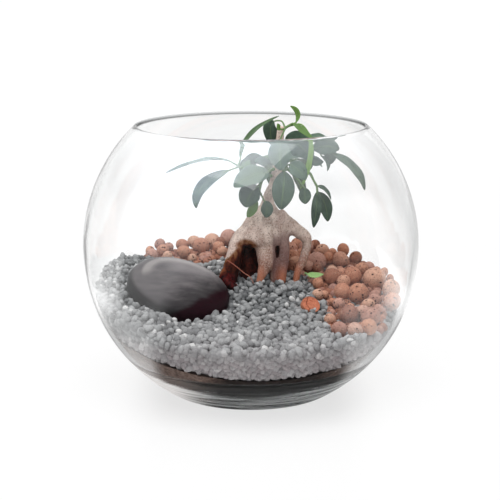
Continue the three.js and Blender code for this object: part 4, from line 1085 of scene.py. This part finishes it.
# Leafy sprays
# Eight short green branches on the bare stem, each with a few thick glossy pointed leaves on thin
# stalks. Each leaf has a midrib, faint side veins and its own shade; the youngest are yellow green.
BLADE = 0.9
FRONT = [0, -1, 0.35]
TOP = [0, -0.2, 1]
SPRAYS = {
    "left": {
        "twigs": [[[17, 29, 155], [6, 27, 157], [-3, 25, 160], [-10, 22, 164]]],
        "leaves": [
            [[[-9.5, 22, 164]], [-17, 21, 168.5], [-37, 18, 169], [-64.5, 15, 160], 10, [0.1, -0.05, 1]],
            [[[-9, 22.3, 163.4]], [-17, 19, 161], [-36, 13, 150], [-41.5, 10, 134], 10.5, [-0.5, -1, 0.5]],
            [[[-9.8, 22.2, 164]], [-8, 23.5, 169.5], [-0.5, 26.5, 187.5], [21, 24.5, 202], 6.5,
                [-0.6, -0.5, 0.8]],
            [[[-8.5, 22.6, 163]], [-8, 24, 159.5], [-4.5, 24.5, 163], [-1, 26, 168], 7, [-0.3, -1, 0.3]],
        ],
    },
    "front_left": {
        "twigs": [[[18, 29, 161], [13, 20, 160], [8, 14, 154], [6, 12, 146]]],
        "leaves": [
            [[[13, 20, 160]], [13, 16, 160], [1, 10, 158], [-12.5, 5, 151], 19, [-0.2, -0.8, 0.8]],
            [[[13.5, 21, 160.3]], [13, 21, 164], [9, 21, 167.5], [2.5, 20, 167.5], 8.5, [0, -0.8, 0.6]],
            [[[8, 14, 154]], [5, 11, 150.5], [-1, 8, 144], [-3.5, 7, 135.5], 16.5, [-0.3, -1, 0.2]],
            [[[6.3, 12.3, 148]], [4.5, 12.5, 139.5], [1, 11, 133], [-3, 11, 127.5], 7, [0.3, -1, 0.5]],
            [[[6.2, 12.2, 147]], [10, 10.5, 139.5], [12, 10, 133.5], [11, 10.5, 127], 9.5, FRONT],
        ],
    },
    "front": {
        "twigs": [
            [[21, 29, 165], [24, 20, 166], [27, 14, 164]], [[24, 20, 166], [33, 16, 157], [38.5, 15, 150]],
        ],
        "leaves": [
            [[[25.5, 17, 165.5]], [25, 12.5, 161], [24, 7, 148], [22.5, 6, 134], 17, FRONT],
            [[[26, 15.5, 165]], [29, 12, 167], [35, 9, 163.5], [41, 8, 156], 12.5, FRONT],
            [[[37.5, 15, 150.9]], [40, 13, 149], [40.5, 11, 143], [41, 11, 137], 9.5, FRONT],
        ],
    },
    "top": {
        "twigs": [[[22.5, 28, 189], [26.5, 27.5, 193], [31, 27, 195.5]]],
        "leaves": [
            [[[26, 27.6, 192.4], [23, 35, 197]], [17.5, 37, 196.5], [15, 38.5, 190], [17, 41, 177], 11.5,
                [-0.3, -1, 0.3]],
            [[[29, 27.2, 194.3], [38, 25.5, 195.5]], [44.5, 24, 187], [44, 22, 169], [37.5, 21, 146.5], 7,
                [1, -0.8, 0.3]],
            [[[30, 27, 195]], [34, 26.5, 197], [35.3, 26, 204.5], [29.5, 25, 209.5], 4.8, [-0.6, -0.8, 0.2]],
            [[[29.5, 27.1, 194.7]], [31.5, 25, 196.5], [39, 23, 191], [46.5, 21, 185], 6, [0.3, -0.8, 0.8]],
            [[[26, 27.6, 192.4], [24.5, 23, 190]], [22, 18.5, 185], [21.5, 14, 174], [22, 8.5, 163], 17.5,
                FRONT],
            [[[25, 27.8, 191.8]], [22, 24.5, 192], [20.5, 22, 194], [20, 20, 197], 4.5, [0.5, -0.8, 0.2]],
        ],
    },
    "right": {
        "twigs": [[[22, 31, 177], [31, 35, 176], [43, 37, 177.5], [54, 36, 179]]],
        "leaves": [
            [[[24.5, 32, 176.8]], [26, 32, 183], [36.5, 32, 179], [47, 31, 168], 20, [0.2, -1, 0.4]],
            [[[43, 37, 177.5]], [44, 39, 181.5], [51.5, 42, 184.5], [60, 45.5, 182], 9.5, TOP],
            [[[40, 36.6, 177.1]], [43.5, 33.5, 170], [49, 32, 166.5], [55.5, 31, 166.5], 8, [0.1, -1, 0.5]],
            [[[45, 37, 177.7]], [48, 35, 175.5], [57.5, 33, 178], [67.5, 31, 176], 14, [0.1, -1, 0.3]],
            [[[52, 36.2, 178.8]], [54, 33, 170.5], [58.5, 32, 165.5], [58.5, 32, 159], 6, [0.9, -0.6, 0.3]],
            [[[53.8, 36, 179]], [61, 35.5, 172.5], [78.5, 31, 161], [87, 29, 144.5], 12, [0.7, -0.7, 0.8]],
            [[[53.5, 36.1, 179]], [57, 39, 176.5], [61, 39, 171], [61.5, 39, 163.5], 10, [0.2, -1, 0.2]],
        ],
    },
    "right_low": {
        "twigs": [[[21, 30, 158], [32, 31, 161], [44, 29, 158.5], [48, 27.5, 152], [50.5, 26.5, 147.5]]],
        "leaves": [
            [[[49, 27.1, 150]], [51, 27, 147.8], [57, 26.5, 144.5], [61, 25, 137.5], 6.5, [0.9, -0.4, 0.3]],
            [[[50.3, 26.5, 148]], [50.3, 23.5, 143.5], [50, 21, 132], [48, 20, 117.5], 8, FRONT],
            [[[50.5, 26.5, 147.5]], [51.5, 28.5, 142.5], [57, 29, 132.5], [59, 29, 120.5], 10, FRONT],
        ],
    },
    "back_left": {
        "twigs": [[[18, 32, 168], [12, 43, 168], [6, 52, 165]]],
        "leaves": [
            [[[12, 43, 168]], [8, 45, 168], [0, 49, 164], [-5, 52, 152], 13, [-0.5, 0.8, 0.4]],
            [[[6, 52, 165]], [2, 56, 164], [-2, 66, 158], [-1, 76, 146], 14, [-0.2, 0.8, 0.5]],
            [[[6.5, 51, 165]], [9, 57, 166], [12, 68, 163], [13, 80, 152], 13, [0, 0.6, 0.8]],
            [[[10, 46, 167]], [13, 48, 163], [16, 51, 154], [17, 54, 141], 12, [0.1, 0.9, 0.3]],
        ],
    },
    "back_right": {
        "twigs": [[[23, 33, 160], [28, 46, 164], [34, 55, 164]]],
        "leaves": [
            [[[28, 46, 164]], [31, 47, 166], [43, 51, 168], [56, 54, 159], 14, TOP],
            [[[34, 55, 164]], [36, 59, 164], [42, 70, 161], [46, 81, 151], 15, TOP],
            [[[33, 54, 164]], [30, 58, 165], [26, 70, 164], [24, 82, 153], 13, TOP],
            [[[31, 51, 164]], [32, 50, 159], [37, 52, 148], [41, 53, 135], 12, [0.5, 0.6, 0.4]],
        ],
    },
}
YOUNG = {
    ("left", 2): 0.15, ("left", 3): 0.3, ("top", 1): 1.0, ("top", 2): 0.7, ("top", 3): 0.45, ("top", 5): 0.7,
    ("front_left", 3): 0.5,
}


def leaf_shape(stalk, base, middle, tip, width, face, young):
    """A stalk, then a blade whose midrib is a quadratic curve through base, middle and tip. Its half
    width follows a skewed sine. Across, the section is a thin lens, folded up into a shallow V, wavy at
    the margin, with a rib below and a groove above the middle."""
    base, middle, tip = (np.array(p, float) for p in (base, middle, tip))
    u = np.linspace(0, 1, 30)[:, None]
    control = 2 * middle - (base + tip) / 2
    centre = (1 - u) ** 2 * base + 2 * u * (1 - u) * control + u**2 * tip
    along = unit(np.gradient(centre, axis=0))
    side = unit(np.cross(along, face))
    up = np.cross(side, along)
    half = width / 2 * np.sin(np.pi * (0.02 + 0.97 * u) ** 0.95) ** 0.68
    a = np.linspace(0, 2 * np.pi, 28, endpoint=False)
    v = np.cos(a)
    under = np.sin(a) < -0.01
    thick = BLADE / 2 * np.sin(a) * (0.75 + 0.25 * np.abs(np.sin(a)))
    rib = -0.28 * np.exp(-((v / 0.1) ** 2)) * (1 - 0.6 * u)
    wave = 0.05 * half * v**2 * np.sin(2 * np.pi * (2.3 * u + 0.3 * np.sign(v) + young))
    rise = half * 0.22 * np.abs(v) ** 1.3 + np.minimum(1, half / 1.5) * (thick + rib) + wave
    rings = centre[:, None] + side[:, None] * (half * v)[..., None] + up[:, None] * rise[..., None]
    shade = chance.uniform(0, 1)
    columns = [u + 0 * v, v + 0 * u, under + 0 * u, shade + 0 * u * v, young + 0 * u * v]
    blade = skin(rings, np.stack(columns, -1))
    path = [*stalk, base.tolist(), centre[3].tolist()]
    points, triangles, run = tube(path, [0.75, 0.6, 0.55, 0.3][: len(path)], 9, 12)
    marks = np.stack([0 * run, 0 * run, 0 * run, 0.8 + 0 * run, 0.2 + 0.5 * young + 0 * run], -1)[:, 0]
    return joined(blade, (points, triangles, marks))


def spray_shape(name):
    """Twigs as knuckled tubes, with every leaf of the spray."""
    shapes = []
    for path in SPRAYS[name]["twigs"]:
        points, triangles, _ = tube(path, [1.3, 1.0, 1.15, 0.9, 1.0][: len(path)], 12, 26)
        marks = np.repeat([[0.0, 0.0, 0.0, 0.9, 0.3]], len(points), axis=0)
        shapes.append((points, triangles, marks))
    for k, leaf in enumerate(SPRAYS[name]["leaves"]):
        shapes.append(leaf_shape(*leaf, YOUNG.get((name, k), 0.0)))
    return joined(*shapes)


def leaf(name, fresh):
    """Dark glossy green above and paler matt green below, shaded leaf by leaf; a pale midrib and faint
    side veins that lean toward the tip; young leaves take the fresh colour."""
    made, w = blank(name)
    u, v, under = w.read("run"), w.read("across"), w.read("under")
    shade, young = w.read("shade"), w.read("young")
    blotch = w.cloud(6, 3.0, 0.6)
    dark = w.mix(shade, paint(50, 67, 58), paint(78, 98, 84))
    dark = w.mix(w.fade(blotch, 0.4, 0.75) * 0.5, dark, paint(98, 120, 102))
    colour = w.mix(young, dark, fresh)
    across = w.math("ABSOLUTE", v)
    bars = w.math("PINGPONG", u * 11 - across * 1.6, 0.5)
    veins = w.fade(bars, 0.1, 0.02) * w.fade(across, 0.98, 0.7)
    midrib = w.fade(across, 0.09, 0.03)
    colour = w.mix(w.math("MAXIMUM", veins * 0.12, midrib * 0.3), colour, paint(128, 152, 96))
    colour = w.mix(under * 0.5, colour, paint(116, 136, 108))
    height = w.math("MAXIMUM", veins * 0.5, midrib) + 0.25 * w.cloud(1.2, 2.0)
    rough = 0.38 + 0.14 * blotch + 0.2 * under
    w.surface(colour, rough, {"Specular IOR Level": 0.18, "Normal": w.bump(height, 0.18)})
    return made


leaf_marks = ["run", "across", "under", "shade", "young"]
green = leaf("fig_leaf", paint(122, 160, 74))
for spray in SPRAYS:
    piece("leaves_" + spray, spray_shape(spray), leaf_marks, green, ["ficus_spray_" + spray])

# Fallen leaf
# One small yellow-green leaf that dropped onto the clay pebbles beside the trunk.
FALLEN = [[[41.5, 23.8, 80.8]], [43.5, 23.5, 80.3], [49.5, 22.5, 79], [56.5, 21.5, 80.2], 6.5, [0, -0.5, 1]]
FALLEN_YOUNG = 0.9
pale = leaf("fig_leaf_pale", paint(160, 200, 128))
fallen = leaf_shape(*FALLEN, FALLEN_YOUNG)
piece("leaf_fallen", fallen, leaf_marks, pale, ["fallen_leaf"])

# Studio
# A plain pale floor under a soft sky of light, a wide soft lamp above, and a camera on the side of -Y
# whose picture has the middle of the sphere at BOWL_PIXEL.
CAMERA_DISTANCE = 1.0
CAMERA_ELEVATION = np.radians(12.35)
LENS = 96.0
PICTURE = 500
BOWL_PIXEL = (251, 245)
FLOOR_DROP = 0.15
FLOOR_HALF = 4000.0
CARD = 0.97
SIDE_CARDS = [0.08, 0.3]
BACK_GLOW = 0.16
SIDE_GLOW = 1.0
CLOSE_CARD = 0.4
FORE_CARD = 0.4
SHADE_LIFT = 0.2
DULL_SKY = 0.7
VEIL = 3.5
LIFT_DULLING = 0.69
LAMP_AIM = (0, 0, 100)
PAPER = 0.22
PAPER_GLOW = 0.7
FAR_GLOW = 1.03
SKY_SEEN = 1.02
BOX_CREST = 0.45
LEFT_PATCH = 0.4


def floor_shape():
    """A round slab: rings out over the top and back in underneath."""
    out = np.linspace(200, FLOOR_HALF, 12)
    z = np.repeat([-FLOOR_DROP, -FLOOR_DROP - 20], 12)
    return skin(around(np.concatenate([out, out[::-1]]), z, 96), np.zeros((24, 96, 1)))


def floor_paper():
    """Matt grey paper with the faintest mottle, lit from within as a light table is: this keeps the
    shadow under the bowl pale, and far from the bowl it hides the floor's edge against the sky. What is
    seen of it by way of the glass is a little dim close to the bowl and far out to the sides, and brighter
    behind, which makes up for what the glass takes. What the glass throws back of it is also dark in front
    of the bowl, as with a black card there against glare, and bright beside it."""
    made, w = blank("studio_floor")
    x, y, _ = w.parts(w.place())
    away = w.math("SQRT", x * x + y * y)
    far = w.fade(away, 0.3, 1.2)
    left, right = SIDE_CARDS
    sides = w.fade(x, -0.16, -0.4) * left + w.fade(x, 0.16, 0.4) * right
    wide = w.math("ABSOLUTE", x)
    front = w.fade(y, 0.0, -0.06) * w.fade(wide / (0.05 - y), 1.1, 0.7) * CARD
    behind = w.fade(y, 0.1, 0.25) * w.fade(y, 0.95, 0.75) * w.fade(wide, 0.3, 0.16) * BACK_GLOW
    beside = w.fade(wide, 0.18, 0.26) * w.fade(y, 0.18, 0.06) * w.fade(y, -0.05, 0.0) * SIDE_GLOW
    close = w.fade(away, 0.24, 0.15) * w.fade(y, -0.04, 0.02) * CLOSE_CARD
    fore = w.fade(wide, 0.18, 0.26) * w.fade(y, 0.0, -0.06) * FORE_CARD
    through, back = w.ray("Singular"), w.mirrored()
    card = (1 - back * front) * (1 + through * (behind - sides - close) + back * (beside - fore))
    lift = w.fade(wide, 0.055, 0.1) * (1 - far) * SHADE_LIFT
    shade = (PAPER * (1 - far) - LIFT_DULLING * lift) * card
    glow = (PAPER_GLOW + (FAR_GLOW - PAPER_GLOW) * far + lift) * card
    grey = w.node("ShaderNodeCombineColor", {}, {0: shade, 1: shade, 2: shade})
    colour = w.mix(w.cloud(300, 1.0) * 0.05, grey, paint(120, 120, 120))
    glow = w.node("ShaderNodeCombineColor", {}, {0: glow, 1: glow, 2: glow})
    w.surface(colour, 0.9, {"Specular IOR Level": 0.0, "Emission Color": glow, "Emission Strength": 1.0})
    return made


def lamp(name, place, size, power):
    """A square soft lamp, place and size in mm, that faces the point LAMP_AIM."""
    made = bpy.data.objects.new(name, bpy.data.lights.new(name, "AREA"))
    made.data.shape = "SQUARE"
    made.data.size = size * MM
    made.data.energy = power
    made.location = Vector(place) * MM
    made.rotation_euler = (Vector(place) - Vector(LAMP_AIM)).to_track_quat("Z", "Y").to_euler()
    bpy.context.scene.collection.objects.link(made)
    return made


floor = piece("studio_floor_sheet", floor_shape(), [], floor_paper(), [])
lamp("lamp_above", (-150, -250, 1300), 1100, 15).visible_glossy = False

# The sky is white ahead and behind, and a little darker low at both sides. What the glass throws back of it
# is dark behind the camera and dim at the left, and a soft box overhead gives the pale bluish veil over
# the upper glass. Dull surfaces get a little less of its light.
sky = bpy.data.worlds.new("studio_sky")
bpy.context.scene.world = sky
sky.use_nodes = True
sky.node_tree.nodes.clear()
w = Wire(sky.node_tree)
x, y, z = w.parts(w.node("ShaderNodeTexCoord", {}, {}, "Generated"))
left, right = w.fade(x, -0.25, -0.8) * SIDE_CARDS[0], w.fade(x, 0.25, 0.8) * SIDE_CARDS[1]
glow = 1.0 - (right + left) * w.fade(z, 0.6, 0.1)
mirror = w.mirrored()
glow = glow * (1 - mirror * w.fade(y, 0.1, -0.3) * CARD) * (1 - w.ray("Diffuse") * (1 - DULL_SKY))
high = z + w.math("MAXIMUM", -0.6 * x * w.fade(y, 0.4, 0.0), -0.15 * x)
box = mirror * (w.fade(high, 0.15, 1.35) + w.fade(high, 0.85, 1.0) * BOX_CREST)
glow = glow - mirror * w.fade(x, -0.45, -0.7) * w.fade(z, 0.1, 0.25) * LEFT_PATCH
glow = glow + box * VEIL
strength = w.math("MAXIMUM", glow, w.ray("Camera") * SKY_SEEN)
cast = w.mix(box, (1, 1, 1, 1), paint(230, 240, 255))
light = w.node("ShaderNodeBackground", {}, {"Color": cast, "Strength": strength})
w.node("ShaderNodeOutputWorld", {}, {"Surface": light})

camera = bpy.data.objects.new("camera", bpy.data.cameras.new("camera"))
bpy.context.scene.collection.objects.link(camera)
bpy.context.scene.camera = camera
camera.data.lens = LENS
camera.data.clip_end = 20.0
back = Vector((0, -np.cos(CAMERA_ELEVATION), np.sin(CAMERA_ELEVATION)))
camera.location = Vector((0, 0, BOWL_CENTRE_Z * MM)) + back * CAMERA_DISTANCE
camera.rotation_euler = back.to_track_quat("Z", "Y").to_euler()
camera.data.shift_x = -(BOWL_PIXEL[0] - PICTURE / 2) / PICTURE
camera.data.shift_y = (BOWL_PIXEL[1] - PICTURE / 2) / PICTURE
bpy.context.scene.view_settings.view_transform = "Standard"
